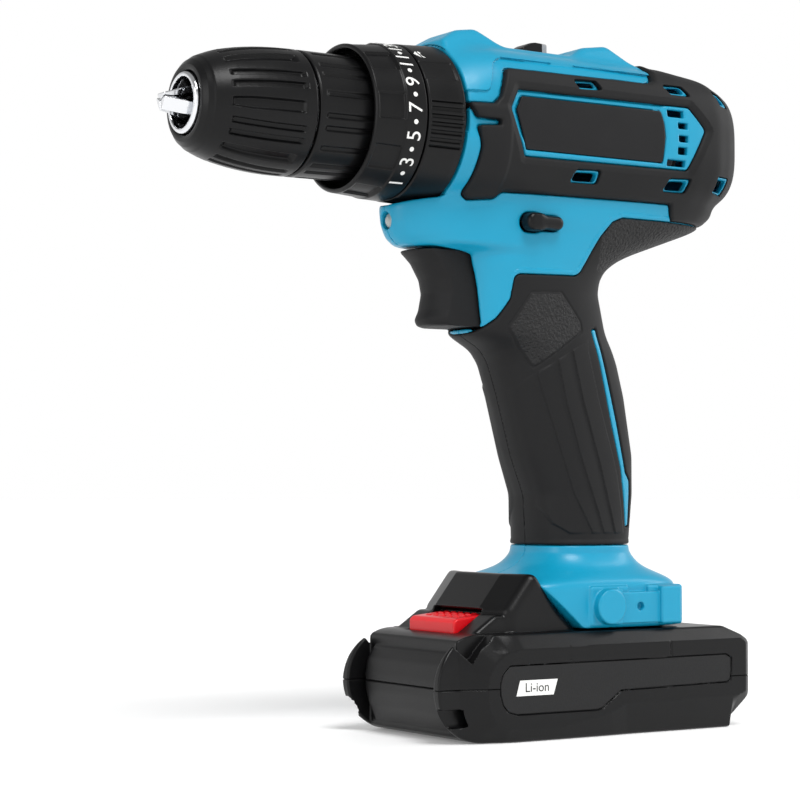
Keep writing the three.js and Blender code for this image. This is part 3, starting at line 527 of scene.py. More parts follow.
LIGHT_Z = -34.6
WALL = 2.8  # of the shell
SKIN = 1.6  # depth of the pockets that the rubber lies in
SEAM = 0.03  # from the middle plane to the edge of each half
SEAM_EDGE = 0.08  # rounding of edges along a seam
RUBBER_GAP = 0.25
SCREWS = [(-45, -36, 12), (-112, -36, 15), (-106, -96, 12), (-92, -138, 12)]  # x, z and depth of the head
BOSS_RADIUS = 4.8
HEAD_ROOM = 3.6
SHANK_ROOM = 1.8
MIDDLE_REACH = -0.6  # how far past the middle plane the left pieces are looked for


def panel_region(x, z, grow):
    return np.maximum(PANEL(x, z) - grow, -(HEX(x, z) + grow))


def grip_region(x, z, grow):
    return np.maximum(GRIP(x, z) - grow, -(STRIPE(x, z) + grow))


def hollow_field(x, y, z):
    return np.minimum(BARREL(x, y, z), HANDLE(z, x, y)) + WALL


HUMP_ROOM = Outline([(-20, 75), (-61, 60.6), (-63.4, 57.9), (-85.4, 37.5), (-85.4, 30), (-20, 30)])


def battery_channel(x, y, z):
    """The room that the pack's rail and hump slide into."""
    ground = z + AXIS_Z
    stem = box_field(x, y, ground, (-130.6, -19.8, 30), (-20, 19.8, 46))
    head = box_field(x, y, ground, (-130.6, -23.6, 44.6), (-20, 23.6, 53))
    hump = np.maximum(HUMP_ROOM(x, ground), np.abs(y) - 40)
    seat = box_field(x, y, ground, (-133.6, -18.4, 39.6), (-130, 18.4, 53))
    return union(stem, head, hump, seat)


def shell_cuts(x, y, z):
    """Rooms and holes of the housing."""
    clutch = np.maximum(np.hypot(y, z) - 29.3, -36.4 - x)
    shaft = common(np.hypot(y, z) - 25.2, -90 - x, x + 30)
    selector = box_field(x, y, z, (-94.8, -5.2, 20), (-74.6, 5.2, 40), 0.8)
    button = np.maximum(button_section(x, z) - 0.35, np.abs(y) - 40)
    light = rod_field(y, z, x, (0, LIGHT_Z), 3.1, -32, -10)
    d = union(clutch, shaft, selector, button)
    d = np.minimum(d, light)
    for x0, x1, z0, z1 in SLOTS:
        d = np.minimum(d, box_field(x, y, z, (x0 - 0.2, -60, z0 - 0.25), (x1 + 0.2, 60, z1 + 0.25), 0.35))
    for window in WINDOWS:
        d = np.minimum(d, window(x, z) + 0.55)
    return np.minimum(d, battery_channel(x, y, z))


def outside_field(x, y, z):
    """The blue surface: the body with its ledge, lip and sunk frame."""
    d = body_field(x, y, z)
    around = PANEL_OUTER(x, z)
    ledge = (1 - step(around, 4.2, 4.6)) * step(z, -8, -3) * step(x, -126, -122)
    lip = (1 - step(GRIP(x, z), 1.7, 2.1)) * step(-x, 60, 64) * step(z, -62, -54) * step(-z, 27.5, 29)
    frame_sink = 1 - step(HEX(x, z), -0.1, 0.5)
    return d + 0.95 * ledge - 0.3 * lip + 0.25 * frame_sink


def clip_mount(x, y, z):
    ground = z + AXIS_Z
    base = box_field(x, y, ground, (-130.0, 24, 38.4), (-87.4, 31.2, 53.0), 1.2)
    post = smooth_common(np.hypot(x + 94.8, ground - 45.7) - 6.3, np.maximum(26 - y, y - 34.6), 0.8)
    block = box_field(x, y, ground, (-99.6, 26, 39.4), (-94.8, 34.2, 52.0), 0.4)
    strip = box_field(x, y, ground, (-119, 26, 39.4), (-98, 32.2, 50.6), 0.3)
    rear = box_field(x, y, ground, (-127.2, 20, 39.0), (-118.0, 33.8, 52.6), 1.0)
    d = smooth_union(base, smooth_union(post, block, 0.3), 0.8)
    d = union(d, strip, rear)
    slot = box_field(x, y, ground, (-113.5, 29.5, 50.7), (-104.5, 40, 53.4), 0.3)
    hole = np.hypot(x + 109.4, ground - 45.4) - 1.5
    return smooth_cut(smooth_cut(d, slot, 0.3), np.maximum(hole, 22 - y), 0.3)


def shell(x, y, z, left):
    d = outside_field(x, y, z)
    if left:
        d = smooth_union(d, clip_mount(x, y, z), 0.6)
    skin_floor = body_field(x, y, z) + SKIN + 0.15
    d = smooth_cut(d, hollow_field(x, y, z), 0.5)
    for sx, sz, _ in SCREWS:
        boss = np.maximum(np.hypot(x - sx, z - sz) - BOSS_RADIUS, y - 18)
        d = np.minimum(d, np.maximum(boss, skin_floor))
    rubber = np.minimum(panel_region(x, z, RUBBER_GAP), grip_region(x, z, RUBBER_GAP))
    for window in WINDOWS:
        rubber = np.maximum(rubber, 0.2 - window(x, z))
    label = LABEL_OUTLINE(x, z) - 0.12
    d = smooth_cut(d, np.maximum(np.minimum(rubber, label), -skin_floor), 0.7)
    d = smooth_cut(d, shell_cuts(x, y, z), 0.7)
    trigger_room = box_field(x, y, z, (-80, -10.3, -72.4), (-10, 10.3, -44.0), 2.5)
    d = smooth_cut(d, trigger_room, 1.8)
    if not left:
        for sx, sz, depth in SCREWS:
            across = np.hypot(x - sx, z - sz)
            d = smooth_cut(d, np.maximum(across - HEAD_ROOM, depth - 2.7 - y), 0.4)
            d = np.maximum(d, -np.maximum(across - SHANK_ROOM, y - 20))
    return smooth_common(d, SEAM - y, SEAM_EDGE)


def panel(x, y, z):
    base = body_field(x, y, z)
    rise = 0.15 + 0.85 * np.clip((HEX(x, z) - 0.3) / 2.6, 0, 1) * step(x, -160, -146)
    rise = rise + 0.45 * step(x, -54.5, -52.5) * step(-z, -6, -3)
    d = smooth_common(panel_region(x, z, 0), base - rise, 1.3)
    for window in WINDOWS:
        d = smooth_cut(d, window(x, z) - 0.35, 0.4)
    d = smooth_cut(d, spine(x, y, z) - 0.3, 0.5)
    d = np.maximum(d, -(base + SKIN))
    return smooth_common(d, SEAM - y, SEAM_EDGE)


RIDGE_ZONE = Outline([
    (-66.6, -96.3), (-66.9, -94.9), (-73.6, -88.8), (-88.8, -79.8), (-97, -75.5), (-101, -90), (-108, -118),
    (-112, -146.2), (-88.1, -146.2), (-83.5, -142.8), (-78, -131), (-73.5, -116.3),
])


def ridge_height(x, z):
    """Terraces of the grip: each ridge steps up and falls away towards the back."""
    lines = []
    for ridge in RIDGES:
        across, along = zip(*ridge)
        lines.append(np.interp(-z, [-v for v in along], across).astype(np.float32))
    lines.append(lines[-1] - 7.5)
    height = np.zeros_like(x)
    for front, rear in zip(lines, lines[1:]):
        share = (front - x) / (front - rear)
        inside = step(front - x, -0.25, 0.25) * (1 - step(share, 0.97, 1.03))
        height = np.maximum(height, inside * (0.62 - 0.5 * np.clip(share, 0, 1)))
    return height * (1 - step(RIDGE_ZONE(x, z), -0.35, 0.35))


def grip(x, y, z, left):
    base = body_field(x, y, z)
    pad = PAD(x, z)
    side = step(y, 6, 12)
    edge = 0.28 * np.exp(-((pad - 0.2) / 0.4) ** 2)
    rise = 0.25 + side * (ridge_height(x, z) + 0.12 * (1 - step(pad, -0.4, 0.1)) - edge)
    d = smooth_common(grip_region(x, z, 0), base - rise, 1.1)
    d = np.maximum(d, -(base + SKIN))
    if not left:
        for sx, sz, _ in SCREWS:
            d = smooth_cut(d, np.hypot(x - sx, z - sz) - HEAD_ROOM, 0.4)
    return smooth_common(d, SEAM - y, SEAM_EDGE)


def label(x, y, z):
    base = body_field(x, y, z)
    d = smooth_common(LABEL_OUTLINE(x, z) + 0.1, base + 0.45, 0.5)
    return common(d, -(base + SKIN), 20 - y)


def grained(x, y, z):
    """Faces of the grip with the coarse grain: the pad and the web under the barrel."""
    web = (z > -50) & (x < -101)
    return ((PAD(x, z) < -0.6) | web) & (np.abs(y) > 8)


def build_housing():
    shells = (partial(shell, left=True), partial(shell, left=False))
    grips = (partial(grip, left=True), partial(grip, left=False))
    moulded_pair("shell_{}", shells, (-171, MIDDLE_REACH, -181), (-18, 36, 38.5), (0.55, 0.65),
                 "housing", "housing_{}", "housing_blue", [BLUE], right_reach=34)
    moulded_pair("overmould_{}_skin", (panel, panel), (-172, MIDDLE_REACH, -32), (-35, 33, 32), (0.45, 0.55),
                 "housing", "overmould_{}", "overmould_rubber", [RUBBER])
    moulded_pair("grip_{}_skin", grips, (-166, MIDDLE_REACH, -152), (-40, 26, -28), (0.45, 0.55),
                 "housing", "grip_{}", "overmould_rubber", [RUBBER, RUBBER_GRAINED], face_material=grained)
    moulded_pair("label_{}", (label, label), (-126, 26, -11), (-55, 31.5, 11), (0.5, 0.5),
                 "housing", "label_panel_{}", "label_black", [LABEL])


# ---- chuck and clutch

FLUTE_COUNT = 7
FLUTE_TURN = 2 * pi / FLUTE_COUNT
CHUCK_AROUND = 96 * FLUTE_COUNT  # points round the chuck's turned pieces
CLUTCH_AROUND = 720
PRINT_DEPTH = 0.12


def near_angle(angle, centre, spacing):
    """Angle from the nearest of the places centre, centre + spacing and so on."""
    return (angle - centre + spacing / 2) % spacing - spacing / 2


def groove(x, across, half_width, x0, x1, depth, wall=0.45, ramp=1.2):
    """Depth of a groove along x, across is the distance from its middle in mm."""
    ends = step(np.minimum(x - x0, x1 - x), -ramp * 0.3, ramp)
    return depth * step(half_width - np.abs(across), -wall, wall) * ends


def sleeve_radius(x, angle, r):
    single = near_angle(angle, radians(-3.6), FLUTE_TURN) * r
    pair = np.abs(near_angle(angle, radians(22.1), FLUTE_TURN)) * r - radians(5.9) * 21.5
    taper = np.clip((x - 44) * 0.07, 0, 0.5)
    cut = groove(x, single, 1.9 - taper, 24.6, 51.5, 1.5, ramp=1.6)
    cut = np.maximum(cut, groove(x, pair, 1.05, 23.6, 51.0, 1.35, wall=0.3, ramp=1.6))
    return r - cut


def rear_ring_radius(x, angle, r):
    single = near_angle(angle, radians(11.4), FLUTE_TURN) * r
    pair = np.abs(near_angle(angle, radians(36.6), FLUTE_TURN)) * r - radians(5.9) * 22
    cut = groove(x, single, 0.9, -20, 16.6, 0.8, wall=0.4)
    cut = np.maximum(cut, groove(x, pair, 0.85, -20, 16.9, 0.8, wall=0.4))
    return r - cut


BELL_POCKETS = 9


def bell_radius(x, angle, r):
    across = near_angle(angle, radians(3.5), 2 * pi / BELL_POCKETS) * r
    pocket = step(4.6 - np.abs(across), -0.3, 0.3) * step(x, -11.9, -11.3) * (1 - step(x, -1.9, -1.3))
    return r - 0.85 * pocket - 0.3 * (1 - step(x, -20.3, -20.0))


def mode_radius(x, angle, r):
    turn = near_angle(angle, radians(-7.5), 2 * pi / 3)
    length = step(np.minimum(x + 34.6, -21.6 - x), -0.1, 0.3)
    zone = step(radians(16.5) - np.abs(turn), -0.01, 0.01) * length
    wave = np.cos(turn * 2 * pi / radians(5.6) + pi)
    ribs = zone * (1.15 * step(wave, -0.2, 0.3) - 0.95)
    flat = near_angle(angle, radians(34.6), 2 * pi / 3)
    length = step(np.minimum(x + 34.0, -20.9 - x), -0.1, 0.3)
    pad = step(radians(8.2) - np.abs(flat), -0.012, 0.012) * length
    return r + ribs - 0.4 * pad


JAW_TILT = radians(14)
JAW_TIP = (66, 3.3)  # x and radius of a point on a jaw's axis
JAW_TURNS = [2 * pi * i / 3 for i in range(3)]


def jaw_places(x, y, z, turn):
    """Outward from the spindle, across it, and off the jaw's tilted axis, for the jaw at this turn."""
    c, s = cos(turn), sin(turn)
    outward, across = c * z - s * y, c * y + s * z
    off = (x - JAW_TIP[0]) * sin(JAW_TILT) + (outward - JAW_TIP[1]) * cos(JAW_TILT)
    return outward, across, off


def jaw_field(turn):
    """One jaw: a tilted rod, cut to a third round the axis and chamfered at its tip."""

    def field(x, y, z):
        outward, across, off = jaw_places(x, y, z, turn)
        along = (x - JAW_TIP[0]) * cos(JAW_TILT) - (outward - JAW_TIP[1]) * sin(JAW_TILT)
        d = np.maximum(np.hypot(off, across) - 3.05, np.abs(across) - 2.45)
        d = smooth_common(d, np.maximum(-30.0 - along, x - 69.0), 0.5)
        d = smooth_common(d, 0.35 - outward, 0.3)
        wedge = np.abs(across) * 0.5 - outward * cos(radians(30)) + 0.25
        d = smooth_common(d, wedge, 0.3)
        nose = (x - 69.0) * 0.287 + (outward - 2.5) * 0.958
        return smooth_common(d, nose, 0.4)

    return field


CHUCK_SECTION = Outline([
    (-7, -12), (-7, 18.4), (-6.2, 19), (37, 19), (45, 17.2), (54, 12.6), (57, 10.6), (60.7, 10.6),
    (61.4, 9.9), (61.4, -12),
], soften=0.25)


def chuck_nose(x, y, z):
    r = np.hypot(y, z)
    mouth = r - 6.6 - np.clip((x - 54.5) * 0.45, 0, 2.2)
    d = smooth_cut(CHUCK_SECTION(x, r), np.maximum(mouth, 14.2 - x), 0.35)
    for turn in JAW_TURNS:
        _, across, off = jaw_places(x, y, z, turn)
        d = smooth_cut(d, np.maximum(np.hypot(off, across) - 3.8, 8 - x), 0.3)
    d = np.maximum(d, -common(15.9 - r, 29.2 - x, x - 36.8))
    return np.maximum(d, -np.maximum(r - 6.4, x - 15))


def build_chuck():
    sleeve_outer = [
        (59.9, 11.4), (60.1, 12.2), (60.0, 13.2), (58.6, 14.9), (57.0, 15.9), (56.4, 16.4), (54.5, 17.2),
        (51.6, 18.3), (48.6, 19.2), (45.3, 19.9), (42, 20.5), (38.6, 21.0), (35.2, 21.4), (31.7, 21.7),
        (28.2, 21.9), (24, 22), (20.8, 22), (20.2, 21.6), (20, 21.0),
    ]
    sleeve_inner = [(20, 19.3), (37.2, 19.3), (45.2, 17.5), (54.4, 12.9), (57.2, 10.9), (59.4, 10.9)]
    turned("chuck_sleeve_grip", sleeve_outer, sleeve_inner, 0.3, sleeve_radius, CHUCK_AROUND,
           "chuck_sleeve", "chuck_sleeve", BLACK)
    ring_outer = [(19.4, 21.0), (19.2, 21.7), (18.6, 22.0), (0, 22), (-5, 21.8), (-7, 20.8)]
    ring_inner = [(-7, 19.3), (19.4, 19.3)]
    turned("chuck_ring_grip", ring_outer, ring_inner, 0.3, rear_ring_radius, CHUCK_AROUND,
           "spindle", "chuck_rear_ring", BLACK)
    # faces inside the mouth (radius under 8.7 mm, short of the tip) take the near-black painted shade instead
    # of chrome
    moulded("chuck_nose", chuck_nose, (-8, -20, -20), (62, 20, 20), 0.5, "spindle", "chuck_body", "chrome",
            [CHROME, CHUCK_PAINTED_SHADE], face_material=lambda x, y, z: (np.hypot(y, z) < 8.7) & (x < 60.6))
    for i, turn in enumerate(JAW_TURNS, 1):
        moulded(f"jaw_{i}_steel", jaw_field(turn), (34, -17, -17), (70, 17, 17), 0.3,
                f"jaw_{i}", f"jaw_{i}", "chrome", [CHROME])


def flat_letters(text, size):
    """Points and faces of letters round the origin of a plane."""
    curve = bpy.data.curves.new("letters", "FONT")
    curve.body, curve.size, curve.align_x, curve.align_y = text, size, "CENTER", "CENTER"
    curve.resolution_u = 6
    holder = bpy.data.objects.new("letters", curve)
    mesh = bpy.data.meshes.new_from_object(holder)
    bpy.data.objects.remove(holder)
    return np.array([v.co[:] for v in mesh.vertices]), [list(p.vertices) for p in mesh.polygons]


def on_ring(flat, x, radius, angle):
    """Flat points wrapped on a ring: they read from +Y to +Z, with their tops towards the chuck."""
    turn = radians(angle) + flat[:, 0] / radius
    return np.stack([x + flat[:, 1], radius * np.cos(turn), radius * np.sin(turn)], 1)


def print_on_ring(text, size, x, radius, angle):
    flat, faces = flat_letters(text, size)
    return on_ring(flat, x, radius, angle), faces


def print_on_pack(text, side):
    """Letters on a flat side of the pack, read from outside."""
    flat, faces = flat_letters(text, BADGE_LETTERS)
    level = np.full(len(flat), PRINT_Y * side)
    return np.stack([PRINT_X - side * flat[:, 0], level, PRINT_Z + flat[:, 1]], 1), faces


def disc(x, radius, angle, size, around=20):
    """Points and faces of a dot on a ring."""
    t = np.arange(around) * 2 * np.pi / around
    turn = radians(angle) + size * np.cos(t) / radius
    points = np.stack([x + size * np.sin(t), radius * np.cos(turn), radius * np.sin(turn)], 1)
    return points, [list(range(around))]


def thick_print(name, parts, body, material):
    """Several flat prints as one mesh, given a real thickness."""
    points, faces, start = [], [], 0
    for p, f in parts:
        points.append(p)
        faces += [[start + i for i in face] for face in f]
        start += len(p)
    mesh = bpy.data.meshes.new(name)
    mesh.from_pydata(((np.concatenate(points) + origin_of(body)) * MM).tolist(), [], faces)
    mesh.update()
    mesh.materials.append(material)
    solid = add_object(name, mesh, body, PRINT_SLOTS[body]).modifiers.new("thickness", "SOLIDIFY")
    solid.thickness = PRINT_DEPTH * MM
    solid.offset = 0


PRINT_SLOTS = {"torque_ring": "black_plastic", "mode_ring": "black_plastic", "battery": "battery_black"}
DIAL_X = -15.4
DIAL_RADIUS = 27.72
DIAL_START = -57.5  # degrees, of the number 1
DIAL_PITCH = 20
DIAL_DIGITS = 7.9
DIAL_DOT = 0.85
MARK_X = -25.4
MARK_ANGLE = 52
MODE_RADIUS = 28.2
BIT_MARK = [  # a plain drill bit: shank, two turns of flute and tip
    [(-1.2, -4.2), (1.2, -4.2), (1.2, -1.7), (-1.2, -1.7)],
    [(-2.0, -1.2), (2.0, -0.4), (2.0, 0.6), (-2.0, -0.2)],
    [(-2.0, 0.5), (2.0, 1.3), (2.0, 2.3), (-2.0, 1.5)],
    [(-2.0, 2.2), (2.0, 3.0), (0, 4.6)],
]
BADGE = [(-51.4, 15.9), (-53.0, 21.3), (-69.2, 21.3), (-67.4, 15.9)]
BADGE_Y = 35.7
BADGE_LETTERS = 4.6
PRINT_X, PRINT_Y, PRINT_Z = -60.3, 35.74, 18.6


def build_clutch():
    bell_outer = [
        (0, 24.9), (-0.15, 25.6), (-0.7, 26.2), (-11.5, 27.1), (-12.2, 27.5), (-19.6, 27.85), (-20.1, 27.5),
        (-20.2, 27.2),
    ]
    bell_inner = [(-20.2, 26.0), (-11, 24.45), (-11, 13.6), (-8, 13.6), (-8, 24.3), (-2, 24.3)]
    turned("torque_ring_dial", bell_outer, bell_inner, 0.25, bell_radius, CLUTCH_AROUND,
           "torque_ring", "torque_ring", BLACK)
    mode_outer = [
        (-20.6, 27.2), (-20.7, 27.7), (-21.2, 28.1), (-24, 28.2), (-33, 28.7), (-35.2, 28.7), (-35.6, 28.4),
        (-35.7, 27.8),
    ]
    mode_inner = [(-35.7, 25.4), (-20.6, 25.4)]
    turned("mode_ring_grip", mode_outer, mode_inner, 0.25, mode_radius, CLUTCH_AROUND,
           "mode_ring", "mode_ring", BLACK)
    numbers, dots = [], []
    for i in range(13):
        angle = DIAL_START + DIAL_PITCH * i
        numbers.append(print_on_ring(str(2 * i + 1), DIAL_DIGITS, DIAL_X, DIAL_RADIUS, angle))
        dots.append(disc(DIAL_X, DIAL_RADIUS, angle + DIAL_PITCH / 2, DIAL_DOT))
    thick_print("dial_numbers", numbers + dots, "torque_ring", WHITE)
    marks = []
    for outline in BIT_MARK:
        flat = np.array(outline, float)
        marks.append((on_ring(flat, MARK_X, MODE_RADIUS, MARK_ANGLE), [list(range(len(flat)))]))
    thick_print("mode_mark", marks, "mode_ring", WHITE)


# ---- controls

TRIGGER_SIDE = Outline([
    (-27.6, -44.6), (-30, -46.4), (-32.8, -49), (-36.4, -55), (-37.4, -60), (-36.2, -66), (-34.6, -69.4),
    (-35.6, -71.4), (-37.8, -71.9), (-62.5, -71.9), (-63.5, -68), (-63.5, -44.6),
], soften=0.5)


def trigger(x, y, z):
    bulge = 5.3 * (np.abs(y) / 9.8) ** 2.4
    d = TRIGGER_SIDE(x + bulge * step(x, -56, -42), z)
    d = smooth_common(d, np.abs(y) - 9.7, 0.4)
    return np.minimum(d, box_field(x, y, z, (-69, -3, -60), (-62, 3, -54), 0.3))


def button_section(x, z):
    """The direction button seen along y: a large front end run into a smaller rear end."""
    across = np.zeros_like(x)
    front = box_field(x, across, z, (-73.4, -50, -37.7), (-64.7, 50, -31.1), 3.1)
    rear = box_field(x, across, z, (-81.3, -50, -36.9), (-70.0, 50, -31.9), 2.4)
    return smooth_union(front, rear, 1.2)


def direction_button(x, y, z):
    reach = 26.0 - 0.10 * np.maximum(-70 - x, 0)
    outer = smooth_common(button_section(x, z), np.abs(y) - reach, 2.2)
    bar = box_field(x, y, z, (-77, -23, -35.6), (-68, 23, -33.2), 0.5)
    return np.minimum(np.maximum(outer, 20.8 - np.abs(y)), bar)


SELECTOR_SIDE = Outline([
    (-75.5, 24), (-75.6, 29.6), (-77.2, 32.6), (-80.8, 34.6), (-83, 35), (-88.3, 34.8), (-88.3, 24),
], soften=0.3)


def speed_selector(x, y, z):
    knob = smooth_common(SELECTOR_SIDE(x, z), np.abs(y) - 4.6, 0.8)
    return np.minimum(knob, box_field(x, y, z, (-90.4, -6.6, 23.9), (-75.4, 6.6, 24.8), 0.3))


def lens(x, y, z):
    r = np.hypot(y, z - LIGHT_Z)
    dome = np.hypot(x + 23.9, r) - 3.3
    front = common(r - 2.8, dome, -28 - x)
    return smooth_union(front, rod_field(y, z, x, (0, LIGHT_Z), 2.4, -31, -27), 0.3)


def build_controls():
    moulded("trigger_lever", trigger, (-70, -11, -73), (-25, 11, -43), 0.4,
            "trigger", "trigger", "black_plastic", [RUBBER])
    moulded("direction_button_bar", direction_button, (-83, -27, -40), (-63, 27, -29), 0.4,
            "direction_button", "direction_button", "black_plastic", [BLACK])
    moulded("speed_selector_knob", speed_selector, (-92, -8, 23), (-74, 8, 36), 0.35,
            "speed_selector", "speed_selector", "black_plastic", [BLACK, GREY],
            face_material=lambda x, y, z: (x < -85.9) & (z > 30))
    moulded("work_light", lens, (-32, -5, -40), (-18, 5, -30), 0.3,
            "housing", "work_light_lens", "lens_clear", [LENS])


# ---- battery pack, z from the ground

BARREL_X = -40.2
BARREL_R = 18.6
BARREL_TURNS = [radians(a) for a in range(-90, 91, 6)]
PACK_SIDE = Outline([
    *[(BARREL_X + BARREL_R * cos(a), BARREL_R + BARREL_R * sin(a)) for a in BARREL_TURNS],
    (-148, 37.2), (-158.8, 32), (-158.8, 11), (-150.6, 0),
], soften=0.4)
FACE_RING = Outline([
    (-40.6, 24), (-39.4, 18.3), (-40.2, 12.2), (-43.1, 7.3), (-48.4, 4.6), (-71.1, 4.6), (-92.5, 8.3),
    (-99.5, 11.2), (-152.1, 11.8), (-155.9, 13.2), (-155.9, 30.6), (-154, 32.4), (-54.1, 32),
    (-47.8, 30.8), (-43.1, 27.6),
], soften=0.5)
FACE_INSET = Outline([
    (-48.6, 26.6), (-45.6, 23.6), (-44.5, 20.2), (-44.7, 16.4), (-45.8, 12.8), (-48, 10.3), (-51.8, 9.3),
    (-86.3, 9.3), (-89, 9.7), (-97.6, 15.7), (-147.1, 16.5), (-148.8, 17.4), (-149.3, 25.6),
    (-146.8, 27.1),
], soften=0.3)
FRONT_BLOCK = Outline([
    (-31.2, 4.2), (-28.4, 10), (-27, 15.5), (-26.8, 21), (-27.7, 26.4), (-30.2, 30.4), (-50, 43.6),
    (-62, 43.6), (-62, 0.8), (-36, 0.8),
], soften=0.8)
HUMP = Outline([(-50, 30), (-50, 44.8), (-60.2, 57.6), (-63.4, 57.6), (-84.8, 37.4), (-84.8, 30)], soften=0.7)
RAIL_FRONT = Outline([(-130, 30), (-84.4, 37.3), (-62, 57.6), (-62, 60), (-130, 60)])
BUTTON_POCKET = Outline([(-38.6, 31), (-38.6, 46), (-49, 46), (-54.2, 44), (-54.2, 31)])
SPLIT = 18.7
SPLIT_GAP = 0.02
PLATE_RECESS = 1.0


def pack_outside(x, y, z):
    side = np.abs(y)
    upper = 0.48 + 0.37 * step(-x, 42, 54) - 0.9 * (1 - step(z, 27, 32))
    slope = np.maximum(0.2 + 0.28 * step(x, -54, -42), upper)
    slope = np.maximum(slope, 0.7 * step(-x, 148, 153))
    recess = 1 - step(FACE_INSET(x, z), -0.12, 0.12)
    face = side - 36 + slope * np.maximum(FACE_RING(x, z) - 0.2, 0) + PLATE_RECESS * recess
    groove_line = np.minimum(np.abs(x + 120.4), np.abs(x + 75.2)) - 0.15
    line = (1 - step(groove_line, 0, 0.25)) * step(z, 27.2, 27.6) * (1 - step(z, 32, 33))
    face = face + 0.3 * line
    d = smooth_common(PACK_SIDE(x, z), face, 0.8)
    middle = smooth_common(side - 28.0, -31.5 - x, 0.8)
    d = smooth_cut(d, middle, 0.9)
    block = smooth_common(FRONT_BLOCK(x, z), side - 25.5, 2.2)
    d = smooth_union(d, block, 0.5)
    wedge = np.abs(x + 35.0) * 0.8 + (31.0 - z) * 0.75 - 2.6
    d = smooth_cut(d, common(wedge, np.abs(side - 30.4) - 2.2, 24 - z), 0.5)
    slot = box_field(x, side, z, (-40, 28.6, 5.6), (-20, 31.8, 12.4), 1.4)
    d = smooth_cut(d, slot, 0.5)
    swept = 0.35 * np.maximum(side - 14, 0) * step(x, -76, -64)
    hump = smooth_common(HUMP(x + swept, z), side - 27, 3.6)
    d = smooth_union(d, hump, 1.0)
    stem = box_field(x, y, z, (-129.8, -19.4, 30), (-62, 19.4, 46), 0.4)
    head = box_field(x, y, z, (-129.8, -23.2, 45.2), (-62, 23.2, 52.4), 0.5)
    rail = np.maximum(np.minimum(stem, head), np.minimum(RAIL_FRONT(x, z), hump))
    return np.minimum(d, rail)


def pack_inside(x, y, z):
    low = box_field(x, y, z, (-147, -33.4, 2.6), (-45.6, 33.4, 28))
    high = box_field(x, y, z, (-147, -33.4, 27), (-57, 33.4, 33.4))
    nose = common(PACK_SIDE(x, z) + 2.6, np.abs(y) - 22, z - 28, -60 - x)
    nose = common(nose, x + 31.5, 3.4 - z)
    room = box_field(x, y, z, (-126, -16.4, 30), (-66, 16.4, 44))
    return union(low, high, nose, room)


def pack(x, y, z):
    d = smooth_cut(pack_outside(x, y, z), pack_inside(x, y, z), 0.4)
    d = smooth_cut(d, np.maximum(BUTTON_POCKET(x, z), np.abs(y) - 15.2), 0.6)
    for middle in (-12, 0, 12):
        d = smooth_cut(d, box_field(x, y, z, (-131, middle - 1, 45), (-108, middle + 1, 53)), 0.3)
    return d


BUTTON_SIDE = Outline([(-39.5, 36.4), (-39.5, 40.8), (-41, 42), (-53.5, 43.3), (-53.5, 36.4)], soften=0.3)


def release_button(x, y, z):
    length = step(np.minimum(-42.2 - x, x + 53), 0, 0.5)
    bumps = 0.45 * np.maximum(np.sin((x + 42.5) * 2 * pi / 2.6), 0) * length
    teeth = bumps * step(np.cos(y * 2 * pi / 4.4), -0.6, 0.0) * step(11.8 - np.abs(y), 0, 0.4)
    d = smooth_common(BUTTON_SIDE(x, z - teeth * step(z, 40, 41)), np.abs(y) - 14.5, 0.8)
    return np.minimum(d, box_field(x, y, z, (-50, -4, 35), (-44, 4, 36.8), 0.2))


def side_plate(x, y, z):
    """The matt plate let into the left face of the pack, over the joint of cover and tray."""
    d = smooth_common(FACE_INSET(x, z) + 0.3, y - 35.7, 0.35)
    return np.maximum(d, 36.05 - PLATE_RECESS - y)


def cover(x, y, z):
    return smooth_common(pack(x, y, z), SPLIT + SPLIT_GAP - z, SEAM_EDGE)


def tray(x, y, z):
    return smooth_common(pack(x, y, z), z - SPLIT + SPLIT_GAP, SEAM_EDGE)


def build_pack():
    moulded("pack_cover", cover, (-160, -37, 17), (-21, 37, 59), 0.6,
            "battery", "battery_cover", "battery_black", [PACK_BLACK])
    moulded("pack_tray", tray, (-160, -37, -1), (-21, 37, 20), 0.6,
            "battery", "battery_tray", "battery_black", [PACK_BLACK])
    moulded_pair("pack_plate_{}", (side_plate, side_plate), (-150, 34, 8), (-44, 36.6, 28), (0.45, 0.45),
                 "battery", None, "battery_black", [PACK_MATT])
    for name, side in (("left", 1), ("right", -1)):
        badge = np.array([(x, BADGE_Y * side, z) for x, z in BADGE])
        thick_print(f"pack_badge_{name}", [(badge, [list(range(len(BADGE)))])], "battery", WHITE)
        thick_print(f"pack_print_{name}", [print_on_pack("Li-ion", side)], "battery", DARK_PRINT)
    moulded("release_button_cap", release_button, (-55, -16, 34), (-38, 16, 45), 0.35,
            "release_button", "release_button", "button_red", [RED])


# ---- the CAD nodes that stay

CARRIED = {
    STEEL: [
        "spindle", "carrier_front", "carrier_rear", "chuck_screw", "chuck_nut", "ring_gear_front",
        "ring_gear_rear", "spindle_bearing", "clutch_spring", "motor_can", "motor_mount_plate",
        "motor_pinion", "release_spring",
        *[f"planet_{row}_{i}" for row in ("front", "rear") for i in (1, 2, 3)],
        *[f"case_screw_{i}" for i in range(1, 5)],
    ],
    COPPER: ["motor_rotor"],
    BLACK: ["motor_end_cap", "motor_fan", "gearbox_case", "trigger_switch"],
    BOARD: ["control_board", "battery_board"],
    WRAP: [f"cell_{i}" for i in range(1, 6)],
    BRASS: ["terminal_block"],
}


def paint_carried():
    for material, names in CARRIED.items():
        for name in names:
            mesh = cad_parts[name].data
            mesh.materials.clear()
            mesh.materials.append(material)


# ---- camera and light

CAMERA = Vector((460.49, 681.52, 87.41))  # millimetres in the CAD frame
LENS_MM = 102.4
HEADING = radians(147.37)
PITCH = radians(2.27)
FLOOR_HALF = 30.0
FLOOR_DROP = 0.0002  # keeps the floor just clear of the pack's underside
FLOOR_GLOW = 0.16


